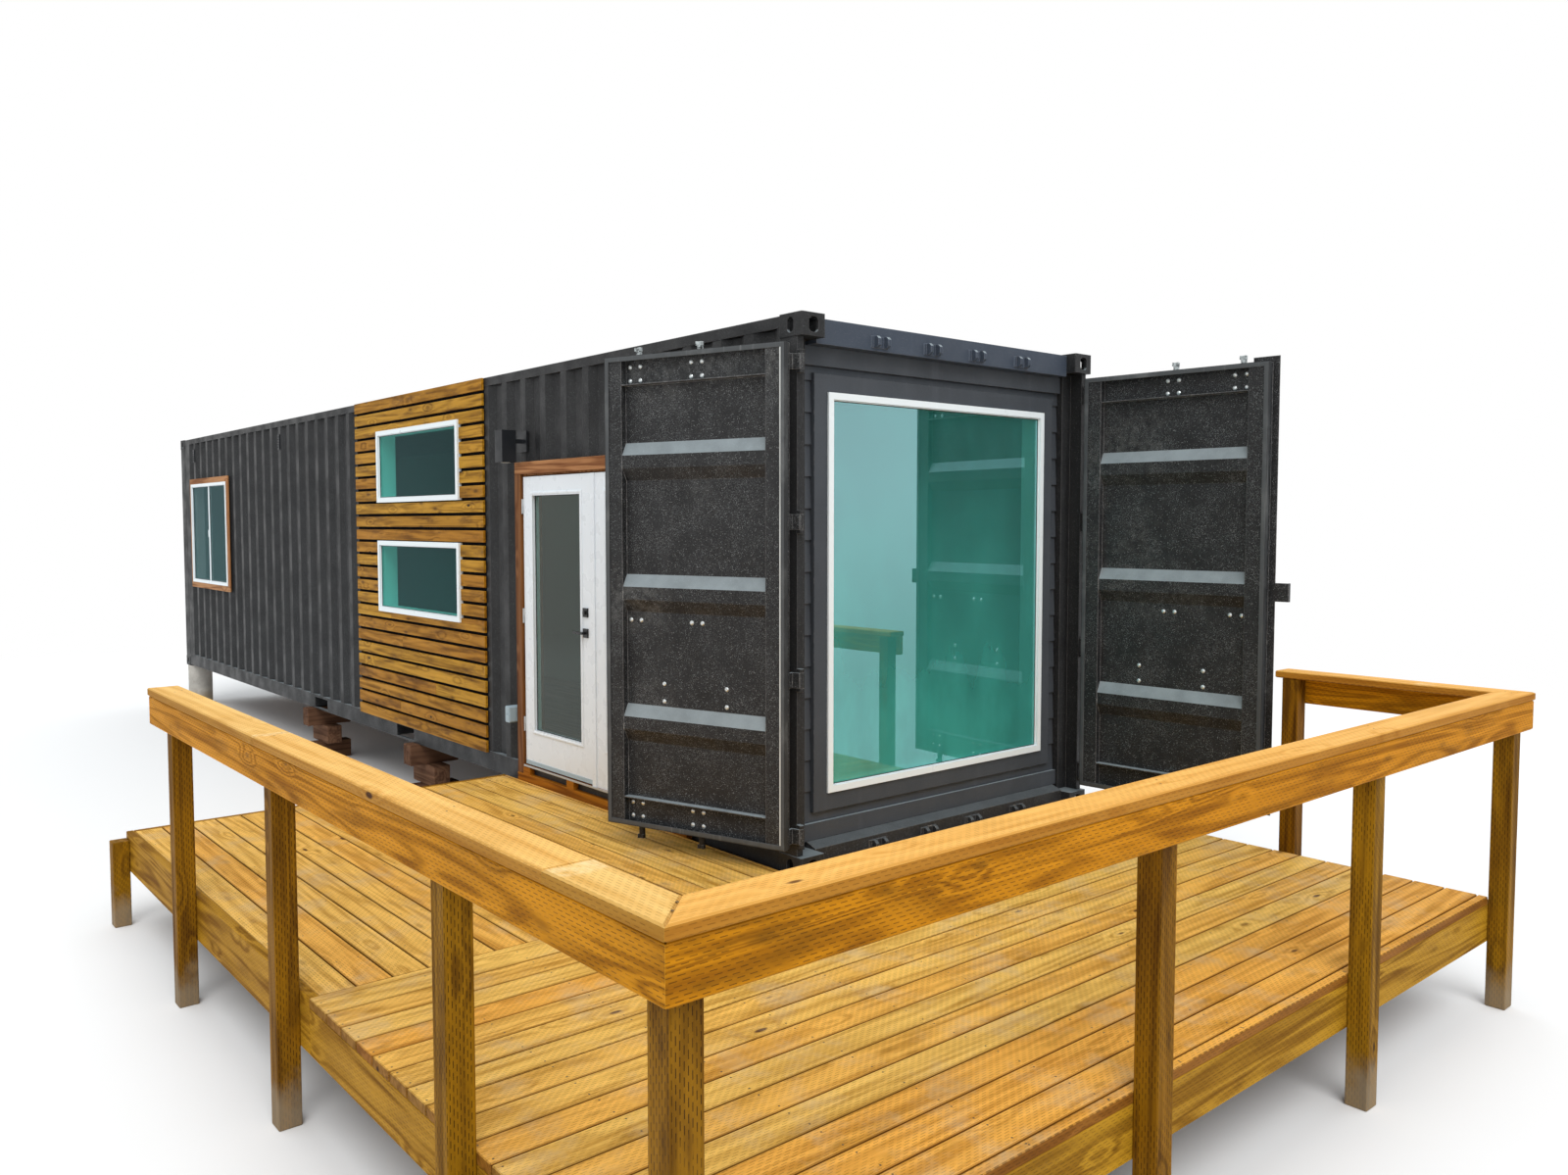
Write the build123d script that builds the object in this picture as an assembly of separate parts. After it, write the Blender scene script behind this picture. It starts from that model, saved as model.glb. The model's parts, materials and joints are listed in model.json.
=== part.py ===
from build123d import *
import math
import os

# A shipping container cabin on piers with a timber deck along its entry side and door end.
# Millimetres. X = 0 is the door end, the shell runs towards -X. Y = 0 is the entry side wall,
# the cabin lies on +Y and the deck on -Y. Heights are counted from the container's underside
# and every piece is lifted by the pier height when it is written out.

os.makedirs("parts", exist_ok=True)

# Container shell
length = 12192.0
width = 2438.0
height = 2896.0
pier_height = 500.0
frame_inset = 4.0
sheet = 2.0
overcut = 1.0

# Corner castings
casting_x = 178.0
casting_y = 162.0
casting_z = 118.0
casting_wall = 18.0
casting_edge = 6.0
slot_long = 124.0
slot_short = 63.0
slot_chamfer = 18.0
eye_height = 79.0
side_eye_width = 51.0
end_eye_width = 65.0
end_eye_rounding = 24.0

# Door end posts, an L section that the cargo doors close into
post_depth = casting_x
post_leg = 40.0
post_front_setback = 38.0
post_stop_reach = 126.0
post_stop_depth = 55.0

# Rails, header and sill
top_rail = 60.0
rail_drop = 6.0
bottom_rail_low = 15.0
bottom_rail_top = 152.0
bottom_rail_flange = 48.0
bottom_rail_web = 4.5
header_setback = 70.0
header_low = 2757.0
header_top = 2886.0
sill_setback = 70.0
sill_top = 149.0
sill_front_drop = 24.0
member_low = 4.0

# Fork pockets
pocket_spacing = 2050.0
pocket_width = 360.0
pocket_low = 30.0
pocket_high = 128.0
pocket_plate = 4.0

# Wall corrugation
wall_pitch = 278.0
wall_crest = 72.0
wall_slope = 68.0
wall_depth = 36.0
wall_setback = 6.0
wall_first_crest = 154.0

# Roof corrugation
roof_pitch = 209.0
roof_crest = 91.0
roof_slope = 13.5
roof_depth = 20.0
roof_drop = 8.0

# Floor and lining
floor_thickness = 28.0
joist_height = 118.0
joist_flange = 45.0
joist_web = 4.0
joist_pitch = 400.0
lining = 80.0
lining_gap = 2.0
ceiling_low = 2700.0
ceiling_thickness = 50.0
joint_gap = 0.5

# Glazed end wall between the door end posts
end_face_setback = 140.0
end_trim_thickness = 35.0
end_panel_thickness = 100.0
lap_exposure = 167.0
lap_butt = 14.0
lap_top = 4.0
end_window_margin = 304.5
end_window_height = 2134.0
end_window_low = 390.0
end_casing = 95.0
head_fascia_low = 2656.0
foot_board_top = 241.0
frame_face = 36.0
frame_proud = 12.0
glass_thickness = 6.0
glass_setback = 20.0

# Side windows
slider_from_blank_end = 1282.0
slider_width = 1524.0
slider_height = 1219.0
slider_low = 1100.0
slider_trim = 66.0
slider_trim_thickness = 19.0
slider_proud = 6.0
sash_face = 34.0
meeting_stile_front = 12.0
meeting_stile_back = 42.0
slat_window_centre = 4715.0
slat_window_width = 1600.0
slat_window_height = 606.0
upper_window_low = 2011.0
lower_window_low = 1080.0
slat_frame_face = 38.0
slat_frame_proud = 14.0

# Slatted cladding panel
cladding_far = 6035.0
cladding_near = 3520.0
cladding_low = 140.0
cladding_top = 2890.0
cladding_thickness = 21.5

# Entry doors
door_far = 2900.0
leaf_width = 900.0
mullion = 45.0
astragal_proud = 8.0
leaf_low = 160.0
leaf_top = 2153.0
leaf_thickness = 44.0
leaf_gap = 5.0
leaf_free_gap = 8.0
leaf_recess = 15.0
stile = 130.0
leaf_top_rail = 130.0
leaf_bottom_rail = 250.0
jamb = 38.0
jamb_back = 126.0
head_gap = 7.0
stop_width = 12.0
stop_gap = 6.0
stop_depth = 14.0
trim_width = 83.0
trim_reveal = 12.0
trim_front = 34.0
trim_thickness = 25.0
threshold = 12.0
hinge_heights = (1950.0, 1195.0, 440.0)
hinge_barrel_radius = 6.0
hinge_barrel_length = 100.0
hinge_plate = 2.0
hinge_plate_reach = 40.0
hinge_running_gap = 0.5
lever_height = 1131.0
deadbolt_height = 1263.0
rose_size = 58.0
rose_thickness = 9.0
deadbolt_knob = 24.0
deadbolt_proud = 20.0
lever_reach = 110.0
lever_standoff = 38.0
lever_bar = 16.0

# Sill blocking under the entry doors
blocking_plate_top = 88.0
block_width = 89.0
block_spacing = 540.0
threshold_setback = 6.0

# Cargo doors
cargo_pin_setback = 15.0
cargo_pin_in = 12.0
cargo_edge = 52.0
cargo_centre_gap = 14.0
cargo_low = 172.0
cargo_top = 2735.0
cargo_outer_setback = 65.0
cargo_thickness = 50.0
cargo_stile = 112.0
cargo_rail = 155.0
cargo_rail_plate = 6.0
cargo_panel_in = 40.0
cargo_sheet = 3.0
ridge_count = 3
ridge_spacing = 715.0
ridge_base = 205.0
ridge_crest = 70.0
ridge_depth = 36.0
left_open_angle = 252.0
right_open_angle = 94.5
hinge_count = 4
hinge_first = 229.0
hinge_spacing = 806.0
knuckle_radius = 14.0
knuckle_height = 80.0
knuckle_sides = 8
pin_radius = 8.0
pin_clearance = 0.4
lug_height = 18.0
lug_gap = 1.0
arm_inner = 18.0
arm_outer = 9.0
strap_bend = 12.0
strap_reach = 140.0
strap_thickness = 10.0
strap_clear = 2.0
seal_lip = 3.0
seal_band = 28.0
seal_depth = 32.0
seal_proud = 3.0
rod_radius = 17.0
rod_standoff = 27.0
rod_offsets = (190.0, 600.0)
rod_low = 85.0
rod_high = 2790.0
cam_width = 36.0
cam_back = 19.0
cam_front = 24.0
cam_notch = 10.0
cam_height = 22.0
guide_heights = (250.0, 1305.0, 2640.0)
guide_width = 84.0
guide_height = 60.0
handle_height = 920.0
handle_length = 330.0
handle_bar_height = 30.0
handle_bar_depth = 14.0
catch_offset = 190.0
catch_width = 60.0
catch_height = 130.0
keeper_gap = 8.0
keeper_width = 22.0
keeper_height = 62.0
keeper_reach = 40.0
keeper_plate = 6.0
keeper_span = 128.0
keeper_bevel = 14.0
header_keeper_low = 2773.0
sill_keeper_low = 40.0
cover_lap = 30.0
cover_reach = 40.0
cover_standoff = 5.0
cover_thickness = 4.0
cover_corner_width = 110.0
cover_corner_depth = 160.0
cover_corner_rise = 35.0
lock_plate_height = 1446.0
lock_plate_size = 105.0
lock_plate_reach = 75.0
lock_plate_thickness = 8.0
lock_plate_flange = 25.0

# Wall fittings
lamp_crest = 10
lamp_size = 105.0
lamp_height = 220.0
lamp_low = 2250.0
lamp_standoff = 77.0
lamp_plate_width = 130.0
lamp_plate_height = 145.0
lamp_plate_low = 2326.0
lamp_plate_thickness = 12.0
lamp_arm = 28.0
outlet_crest = 11
outlet_width = 68.0
outlet_low = 430.0
outlet_height = 115.0
outlet_depth = 75.0
outlet_edge = 8.0
vent_crests_from_blank_end = (2, 14)
vent_width = 60.0
vent_height = 155.0
vent_low = 2595.0
vent_proud = 12.0
vent_slots = 5
vent_margin = 8.0
vent_slot_height = 10.0
vent_back = 4.0

# Supports
pier_radius = 140.0
pier_inset_x = 150.0
pier_inset_y = 126.0
crib_spacing = 2492.0
crib_length = 420.0
crib_timber = 140.0
crib_layers = 3
crib_setback = crib_length / 4

# Deck
deck_side_reach = 2450.0
deck_front_reach = 2405.0
deck_far_x = -3200.0
deck_right_y = 2300.0
deck_top = 35.0
board_thickness = 38.0
rim_height = 184.0
timber = 38.0
breaker_x = -35.0
deck_wall_gap = 12.0
deck_joist_pitch = 406.0
post_size = 89.0
rail_top = 1030.0
beam_height = 140.0
cap_width = 140.0
cap_overhang = 5.0
rail_far_end = -1905.0
mitre_gap = 1.0
side_post_positions = (-1732.0, -227.0, 1304.0)
front_post_positions = (-706.0, 801.0)
return_post_x = 1360.0
return_end_x = 1330.0
ledger_post_fractions = (0.06, 0.5, 0.94)

# Solids of each node by name
nodes = {}

# Values worked out from the sizes above
outer = frame_inset
rail_z = height - rail_drop
back_x = -length
centre_y = width / 2
sheet_front = wall_setback
sheet_back = wall_setback + wall_depth + sheet
lining_front = sheet_back + lining_gap
lining_back = lining_front + lining
floor_low = bottom_rail_top - bottom_rail_web
floor_top = floor_low + floor_thickness
lining_far_x = back_x + outer + wall_depth + sheet + lining_gap + wall_setback
end_panel_back = -(end_face_setback + end_trim_thickness + end_panel_thickness)
top_rail_low = rail_z - top_rail


def block(xs, ys, zs):
    """Rectangular solid between pairs of coordinates."""
    spans = (xs, ys, zs)
    sizes = [abs(b - a) for a, b in spans]
    middle = [(a + b) / 2 for a, b in spans]
    return Pos(*middle) * Box(*sizes)


def prism(points, low, high, plane=Plane.XY):
    """Closed outline extruded from low to high along the plane's normal."""
    face = make_face(Polyline(*points, close=True))
    return extrude(plane.offset(low) * face, high - low)


def along_y(points, y0, y1):
    """Closed outline of x and z values, extruded from y0 to y1."""
    return prism(points, -y1, -y0, Plane.XZ)


def barrel(radius, height, sides):
    """Upright many-sided barrel about the origin, as wide as radius across its flats."""
    turn = 180.0 / sides
    outline = RegularPolygon(radius, sides, major_radius=False, rotation=turn)
    return extrude(Plane.XY.offset(-height / 2) * outline, height)


def far_side(shape):
    """The same piece on the opposite long wall."""
    return mirror(shape, about=Plane(origin=(0, centre_y, 0), z_dir=(0, 1, 0)))


def far_end(shape):
    """The same piece at the opposite end."""
    return mirror(shape, about=Plane(origin=(-length / 2, 0, 0), z_dir=(1, 0, 0)))


def top_side(shape):
    """The same piece at the top of the frame."""
    return mirror(shape, about=Plane(origin=(0, 0, height / 2), z_dir=(0, 0, 1)))


def add(name, *solids):
    """Keep a node's solids under its name."""
    nodes[name] = list(solids)


def write_nodes():
    """Put the origin under the middle of the whole part, on the ground, and write each node."""
    boxes = [s.bounding_box() for solids in nodes.values() for s in solids]
    middle_x = (min(b.min.X for b in boxes) + max(b.max.X for b in boxes)) / 2
    middle_y = (min(b.min.Y for b in boxes) + max(b.max.Y for b in boxes)) / 2
    place = Pos(-middle_x, -middle_y, pier_height)
    for name, solids in nodes.items():
        placed = [place * s for s in solids]
        shape = placed[0] if len(placed) == 1 else Compound(children=placed)
        shape.label = name
        export_step(shape, os.path.join("parts", name + ".step"))


def corner_castings():
    """Hollow corner blocks: a slot in the level face, an eye in the end and one in the side."""
    body = block((-casting_x, 0), (0, casting_y), (0, casting_z))
    body = chamfer(body.edges().filter_by(Axis.Z), casting_edge)
    body -= block(
        (-casting_x + casting_wall, -casting_wall),
        (casting_wall, casting_y - casting_wall),
        (casting_wall, casting_z - casting_wall),
    )
    slot = chamfer(Rectangle(slot_long, slot_short).vertices(), slot_chamfer)
    end_eye = RectangleRounded(end_eye_width, eye_height, end_eye_rounding)
    side_eye = SlotOverall(eye_height, side_eye_width, rotation=90)
    x, y, z = -casting_x / 2, casting_y / 2, casting_z / 2
    body -= Pos(x, y, 0) * extrude(slot, z)
    body -= Pos(0, y, z) * extrude(Plane.YZ * end_eye, x)
    body -= Pos(x, 0, z) * extrude(Plane.XZ * side_eye, -y)
    near = [body, top_side(body)]
    near += [far_side(s) for s in near]
    return near + [far_end(s) for s in near]


def hinge_z():
    return [hinge_first + hinge_spacing * i for i in range(hinge_count)]


def hinge_lugs():
    """Lugs and pins of the near cargo door, as one solid per hinge."""
    px, py = cargo_pin()
    r = knuckle_radius
    lugs = []
    for z in hinge_z():
        low = z - knuckle_height / 2 - lug_gap
        high = z + knuckle_height / 2 + lug_gap
        pin = Pos(px, py, z) * Cylinder(pin_radius, high - low + 2 * lug_height)
        for a, b in ((low - lug_height, low), (high, high + lug_height)):
            ear = block((-post_front_setback, px), (py - r, py + r), (a, b))
            ear += Pos(px, py, (a + b) / 2) * barrel(r, b - a, knuckle_sides)
            pin += ear
        lugs.append(pin)
    return lugs


def corner_posts():
    low = casting_z
    high = height - casting_z
    front = -post_front_setback
    stop = -(post_depth - post_stop_depth)
    leg_in = outer + post_leg
    outline = [
        (front, outer),
        (-post_depth, outer),
        (-post_depth, outer + post_stop_reach),
        (stop, outer + post_stop_reach),
        (stop, leg_in),
        (front, leg_in),
    ]
    door_post = prism(outline, low, high)
    for lug in hinge_lugs():
        door_post += lug
    corner = back_x + outer
    outline = [
        (corner, outer),
        (back_x + casting_x, outer),
        (back_x + casting_x, outer + post_leg),
        (corner + post_leg, outer + post_leg),
        (corner + post_leg, casting_y),
        (corner, casting_y),
    ]
    blank_post = prism(outline, low, high)
    return [door_post, far_side(door_post), blank_post, far_side(blank_post)]


def top_side_rails():
    rail = block((back_x + casting_x, -casting_x), (outer, outer + top_rail), (top_rail_low, rail_z))
    return [rail, far_side(rail)]


def pocket_centres():
    middle = -length / 2
    return [middle + pocket_spacing / 2, middle - pocket_spacing / 2]


def bottom_side_rails():
    y = outer
    t = bottom_rail_web
    outline = [
        (y, bottom_rail_low),
        (y + bottom_rail_flange, bottom_rail_low),
        (y + bottom_rail_flange, bottom_rail_low + t),
        (y + t, bottom_rail_low + t),
        (y + t, bottom_rail_top - t),
        (y + bottom_rail_flange, bottom_rail_top - t),
        (y + bottom_rail_flange, bottom_rail_top),
        (y, bottom_rail_top),
    ]
    rail = prism(outline, back_x + casting_x, -casting_x, Plane.YZ)
    for x in pocket_centres():
        half = pocket_width / 2
        rail -= block((x - half, x + half), (y - t, y + 2 * t), (pocket_low, pocket_high))
    return [rail, far_side(rail)]


def fork_pockets():
    """Plate tunnels that run from rail to rail."""
    tunnels = []
    for x in pocket_centres():
        half = pocket_width / 2
        p = pocket_plate
        ys = (outer + bottom_rail_web, width - outer - bottom_rail_web)
        tunnel = block((x - half - p, x + half + p), ys, (pocket_low, pocket_high + p))
        tunnel -= block((x - half, x + half), (0, width), (pocket_low - p, pocket_high))
        tunnels.append(tunnel)
    return tunnels


def keeper(y, face_x, low):
    """Bracket with two bevelled lugs beside the place of one lock rod's cam."""
    high = low + keeper_height
    half = keeper_span / 2
    bracket = block((face_x, face_x + keeper_plate), (y - half, y + half), (low, high))
    tip = face_x + keeper_reach
    c = keeper_bevel
    profile = [
        (face_x, low),
        (tip - c, low),
        (tip, low + c),
        (tip, high - c),
        (tip - c, high),
        (face_x, high),
    ]
    inner = cam_width / 2 + keeper_gap
    for a, b in ((-inner - keeper_width, -inner), (inner, inner + keeper_width)):
        bracket += along_y(profile, y + a, y + b)
    return bracket


def rod_y():
    """Lock rod places across the closed doors, near side first."""
    inner, outward = rod_offsets
    return [centre_y - outward, centre_y - inner, centre_y + inner, centre_y + outward]


def door_header():
    ys = (casting_y, width - casting_y)
    header = block((-post_depth, -header_setback), ys, (header_low, header_top))
    for y in rod_y():
        header += keeper(y, -header_setback, header_keeper_low)
    return header


def door_sill():
    """Sill whose top falls to the front, with a keeper for each lock rod."""
    front = -sill_setback
    profile = [
        (-post_depth, member_low),
        (front, member_low),
        (front, sill_top - sill_front_drop),
        (-end_face_setback, sill_top),
        (-post_depth, sill_top),
    ]
    sill = along_y(profile, casting_y, width - casting_y)
    for y in rod_y():
        sill += keeper(y, front, sill_keeper_low)
    return sill


def blank_end_rails():
    ys = (casting_y, width - casting_y)
    head = block((back_x + outer, back_x + outer + top_rail), ys, (top_rail_low, rail_z))
    foot = block((back_x + outer, back_x + outer + top_rail), ys, (bottom_rail_low, sill_top))
    return [head, foot]


def trapezoid_sheet(span, pitch, crest, slope, depth, thickness, edge=None):
    """Outline of a ribbed sheet along x from 0 to span, crest at y = 0 and valley at y = depth.

    The first crest's middle is at edge; without one the ribs are centred on the span.
    """
    if edge is None:
        count = int(span // pitch)
        edge = (span - count * pitch) / 2
    else:
        count = int((span - edge + crest / 2) // pitch)
    valley = pitch - crest - 2 * slope
    front = [(0.0, 0.0)]
    x = edge
    for _ in range(count):
        start = x + crest / 2
        front += [
            (start, 0.0),
            (start + slope, depth),
            (start + slope + valley, depth),
            (start + 2 * slope + valley, 0.0),
        ]
        x += pitch
    front.append((span, 0.0))
    back = [(px, py + thickness) for px, py in reversed(front)]
    return front + back


def crest_x(number):
    """Middle of a crest on the long walls, counted from the door end."""
    return -(wall_first_crest + number * wall_pitch)


def side_sheet():
    """One whole corrugated long wall, before openings are cut."""
    near = -post_depth
    far = back_x + casting_x
    span = near - far
    edge = wall_first_crest - casting_x
    points = trapezoid_sheet(span, wall_pitch, wall_crest, wall_slope, wall_depth, sheet, edge)
    outline = [(near - px, sheet_front + py) for px, py in points]
    return prism(outline, bottom_rail_top, top_rail_low)


def door_opening():
    """Rough opening of the entry doors: far x, near x, low z, high z."""
    far = -door_far - jamb
    near = -door_far + 2 * leaf_width + mullion + jamb
    return far, near, bottom_rail_top, leaf_top + head_gap + jamb


def window_boxes():
    """Outer frame rectangles of the side windows: far x, near x, low z, high z."""
    boxes = {}
    half = slider_width / 2
    middle = back_x + slider_from_blank_end
    boxes["slider"] = (middle - half, middle + half, slider_low, slider_low + slider_height)
    half = slat_window_width / 2
    for name, low in (("upper", upper_window_low), ("lower", lower_window_low)):
        boxes[name] = (
            -slat_window_centre - half,
            -slat_window_centre + half,
            low,
            low + slat_window_height,
        )
    return boxes


def cut_windows(shape, ys, margin=0.0):
    for x0, x1, z0, z1 in window_boxes().values():
        shape -= block((x0 - margin, x1 + margin), ys, (z0 - margin, z1 + margin))
    return shape


def entry_wall_pieces():
    """Long piece with the windows, the piece over the doors and the piece at the door end."""
    sheet_wall = side_sheet()
    far, near, low, high = door_opening()
    tall = (0.0, height)
    deep = (-wall_depth, 2 * wall_depth + sheet)
    g = joint_gap / 2
    long_piece = sheet_wall & block((back_x, far), deep, tall)
    long_piece = cut_windows(long_piece, deep)
    over = sheet_wall & block((far + g, near - g), deep, (high, height))
    end = sheet_wall & block((near, 0), deep, tall)
    return long_piece, over, end


def blank_end_wall():
    low = sill_top
    start = casting_y
    span = width - 2 * start
    points = trapezoid_sheet(span, wall_pitch, wall_crest, wall_slope, wall_depth, sheet)
    base = back_x + wall_setback
    outline = [(base + py, start + px) for px, py in points]
    return prism(outline, low, top_rail_low)


def roof_sheet():
    near = -post_depth
    far = back_x + outer + top_rail
    span = near - far
    points = trapezoid_sheet(span, roof_pitch, roof_crest, roof_slope, roof_depth, sheet)
    top = height - roof_drop
    outline = [(near - px, top - py) for px, py in points]
    roof = along_y(outline, outer + top_rail, width - outer - top_rail)
    for ys in ((0, casting_y), (width - casting_y, width)):
        roof -= block((back_x, back_x + casting_x), ys, (0, height))
    return roof


def floor_boards():
    xs = (back_x + outer + top_rail, -post_depth)
    ys = (outer + bottom_rail_flange + joint_gap, width - outer - bottom_rail_flange - joint_gap)
    return block(xs, ys, (floor_low, floor_top))


def floor_joists():
    """Channel cross members between the bottom side rails, clear of the fork pockets."""
    ys = (outer + bottom_rail_web, width - outer - bottom_rail_web)
    low = floor_low - joist_height
    t = joist_web
    first = back_x + casting_x
    last = -post_depth - joist_flange
    count = int((last - first) // joist_pitch) + 1
    step = (last - first) / (count - 1)
    keep_off = pocket_width / 2 + pocket_plate + joist_flange
    joists = []
    for i in range(count):
        x = first + step * i
        if any(abs(x - c) < keep_off for c in pocket_centres()):
            continue
        outline = [
            (x, low),
            (x + joist_flange, low),
            (x + joist_flange, low + t),
            (x + t, low + t),
            (x + t, floor_low - t),
            (x + joist_flange, floor_low - t),
            (x + joist_flange, floor_low),
            (x, floor_low),
        ]
        joists.append(along_y(outline, *ys))
    return joists


def entry_lining():
    ys = (lining_front, lining_back)
    zs = (floor_top, ceiling_low)
    far, near, low, high = door_opening()
    start = lining_far_x
    end = end_panel_back - joint_gap
    g = joint_gap
    long_piece = block((start + lining + g, far), ys, zs)
    long_piece = cut_windows(long_piece, (0, 2 * lining_back))
    over = block((far + g, near - g), ys, (high, ceiling_low))
    near_piece = block((near, end), ys, zs)
    return [long_piece, over, near_piece]


def far_lining():
    start = lining_far_x
    end = end_panel_back - joint_gap
    slab = block((start + lining + joint_gap, end), (lining_front, lining_back), (floor_top, ceiling_low))
    return far_side(slab)


def blank_end_lining():
    start = lining_far_x
    return block((start, start + lining), (lining_front, width - lining_front), (floor_top, ceiling_low))


def ceiling():
    start = lining_far_x
    end = end_panel_back - joint_gap
    ys = (lining_front, width - lining_front)
    return block((start, end), ys, (ceiling_low, ceiling_low + ceiling_thickness))


def end_window_box():
    """Outer frame rectangle of the end window: low y, high y, low z, high z."""
    m = end_window_margin
    return m, width - m, end_window_low, end_window_low + end_window_height


def end_casing_box():
    y0, y1, z0, z1 = end_window_box()
    c = end_casing
    return y0 - c, y1 + c, z0 - c, z1 + c


def end_wall_panel():
    """Insulated stud wall behind the siding, from post to post."""
    face = -(end_face_setback + end_trim_thickness)
    stop = outer + post_stop_reach
    y0, y1, z0, z1 = end_window_box()
    xs = (end_panel_back, face)
    panel = block(xs, (stop, width - stop), (floor_top, header_low))
    panel -= block((xs[0] - overcut, xs[1] + overcut), (y0, y1), (z0, z1))
    return panel


def end_wall_siding():
    """Lapped boards: each board is thin at its top and thick at its butt."""
    back = -(end_face_setback + end_trim_thickness)
    stop = outer + post_stop_reach
    low = foot_board_top + joint_gap
    high = head_fascia_low - joint_gap
    outline = [(back, low)]
    z = low
    while z < high - joint_gap:
        up = min(z + lap_exposure, high)
        outline.append((back + lap_butt, z))
        share = (up - z) / lap_exposure
        outline.append((back + lap_butt - (lap_butt - lap_top) * share, up))
        z = up
    outline.append((back, high))
    siding = along_y(outline, stop, width - stop)
    y0, y1, z0, z1 = end_casing_box()
    siding -= block((back - overcut, 0), (y0 - joint_gap, y1 + joint_gap), (z0 - joint_gap, z1 + joint_gap))
    return siding


def end_wall_trim():
    """Flat casing round the window, the board under the header and the board on the sill."""
    back = -(end_face_setback + end_trim_thickness)
    face = -end_face_setback
    stop = outer + post_stop_reach
    y0, y1, z0, z1 = end_casing_box()
    casing = block((back, face), (y0, y1), (z0, z1))
    y0, y1, z0, z1 = end_window_box()
    casing -= block((back - overcut, face + overcut), (y0, y1), (z0, z1))
    ys = (stop, width - stop)
    head = block((back, face), ys, (head_fascia_low, header_low))
    foot = block((back, face), ys, (sill_top, foot_board_top))
    return [casing, head, foot]


def ring(xs, ys, zs, face, axis):
    """Rectangular frame: an outer box with a hole of the given face width along an axis."""
    outer_box = block(xs, ys, zs)
    spans = [xs, ys, zs]
    hole = []
    for i, (a, b) in enumerate(spans):
        hole.append((a - overcut, b + overcut) if i == axis else (a + face, b - face))
    return outer_box - block(*hole)


def end_window_frame():
    y0, y1, z0, z1 = end_window_box()
    return ring((end_panel_back, -end_face_setback + frame_proud), (y0, y1), (z0, z1), frame_face, 0)


def slider_front():
    """Front plane of the slider's frame."""
    return sheet_front - slider_trim_thickness - slider_proud


def side_window_frames():
    """Vinyl frames of the three side windows; the slider has a meeting stile."""
    frames = []
    for name, (x0, x1, z0, z1) in window_boxes().items():
        if name == "slider":
            ys = (slider_front(), lining_back)
            frame = ring((x0, x1), ys, (z0, z1), sash_face, 1)
            middle = (x0 + x1) / 2
            half = sash_face / 2
            stile_y = (ys[0] + meeting_stile_front, ys[0] + meeting_stile_back)
            frame += block((middle - half, middle + half), stile_y, (z0 + sash_face, z1 - sash_face))
        else:
            ys = (outer - cladding_thickness - slat_frame_proud, lining_back)
            frame = ring((x0, x1), ys, (z0, z1), slat_frame_face, 1)
        frames.append(frame)
    return frames


def window_glass():
    """Fixed sheets: the end window, the slider's two lights and the two slat windows."""
    sheets = []
    y0, y1, z0, z1 = end_window_box()
    f = frame_face
    x = -end_face_setback + frame_proud - glass_setback
    sheets.append(block((x - glass_thickness, x), (y0 + f, y1 - f), (z0 + f, z1 - f)))
    for name, (x0, x1, z0, z1) in window_boxes().items():
        if name == "slider":
            f = sash_face
            y = slider_front() + glass_setback
            middle = (x0 + x1) / 2
            lights = ((x0 + f, middle - f / 2), (middle + f / 2, x1 - f))
        else:
            f = slat_frame_face
            y = outer - cladding_thickness - slat_frame_proud + glass_setback
            lights = ((x0 + f, x1 - f),)
        for a, b in lights:
            sheets.append(block((a, b), (y, y + glass_thickness), (z0 + f, z1 - f)))
    x0, x1, z0, z1 = leaf_glass_box(fixed_leaf_x())
    y = leaf_y()[0] + glass_setback
    sheets.append(block((x0, x1), (y, y + glass_thickness), (z0, z1)))
    return sheets


def slider_window_trim():
    x0, x1, z0, z1 = window_boxes()["slider"]
    t = slider_trim
    ys = (sheet_front - slider_trim_thickness, sheet_front)
    trim = block((x0 - t, x1 + t), ys, (z0 - t, z1 + t))
    return trim - block((x0, x1), (ys[0] - overcut, ys[1] + overcut), (z0, z1))


def slat_cladding():
    ys = (outer - cladding_thickness, outer)
    panel = block((-cladding_far, -cladding_near), ys, (cladding_low, cladding_top))
    for name, (x0, x1, z0, z1) in window_boxes().items():
        if name != "slider":
            panel -= block((x0, x1), (ys[0] - overcut, ys[1] + overcut), (z0, z1))
    return panel


def leaf_y():
    front = -trim_front + leaf_recess
    return front, front + leaf_thickness


def active_leaf_x():
    far = -door_far + leaf_gap
    return far, -door_far + leaf_width - leaf_free_gap


def fixed_leaf_x():
    far = -door_far + leaf_width + mullion
    return far, far + leaf_width


def leaf_glass_box(span):
    x0, x1 = span
    return x0 + stile, x1 - stile, leaf_low + leaf_bottom_rail, leaf_top - leaf_top_rail


def door_leaf(span, low=leaf_low):
    x0, x1 = span
    leaf = block((x0, x1), leaf_y(), (low, leaf_top))
    gx0, gx1, gz0, gz1 = leaf_glass_box(span)
    leaf -= block((gx0, gx1), (-2 * trim_front, 2 * lining), (gz0, gz1))
    return leaf


def entry_door_glass():
    x0, x1, z0, z1 = leaf_glass_box(active_leaf_x())
    y = leaf_y()[0] + glass_setback
    return block((x0, x1), (y, y + glass_thickness), (z0, z1))


def plate_on(face, out, centre, size, depth):
    """Square plate on a face of the entry door, standing out by its depth."""
    x, z = centre
    half = size / 2
    return block((x - half, x + half), sorted((face, face + out * depth)), (z - half, z + half))


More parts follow.
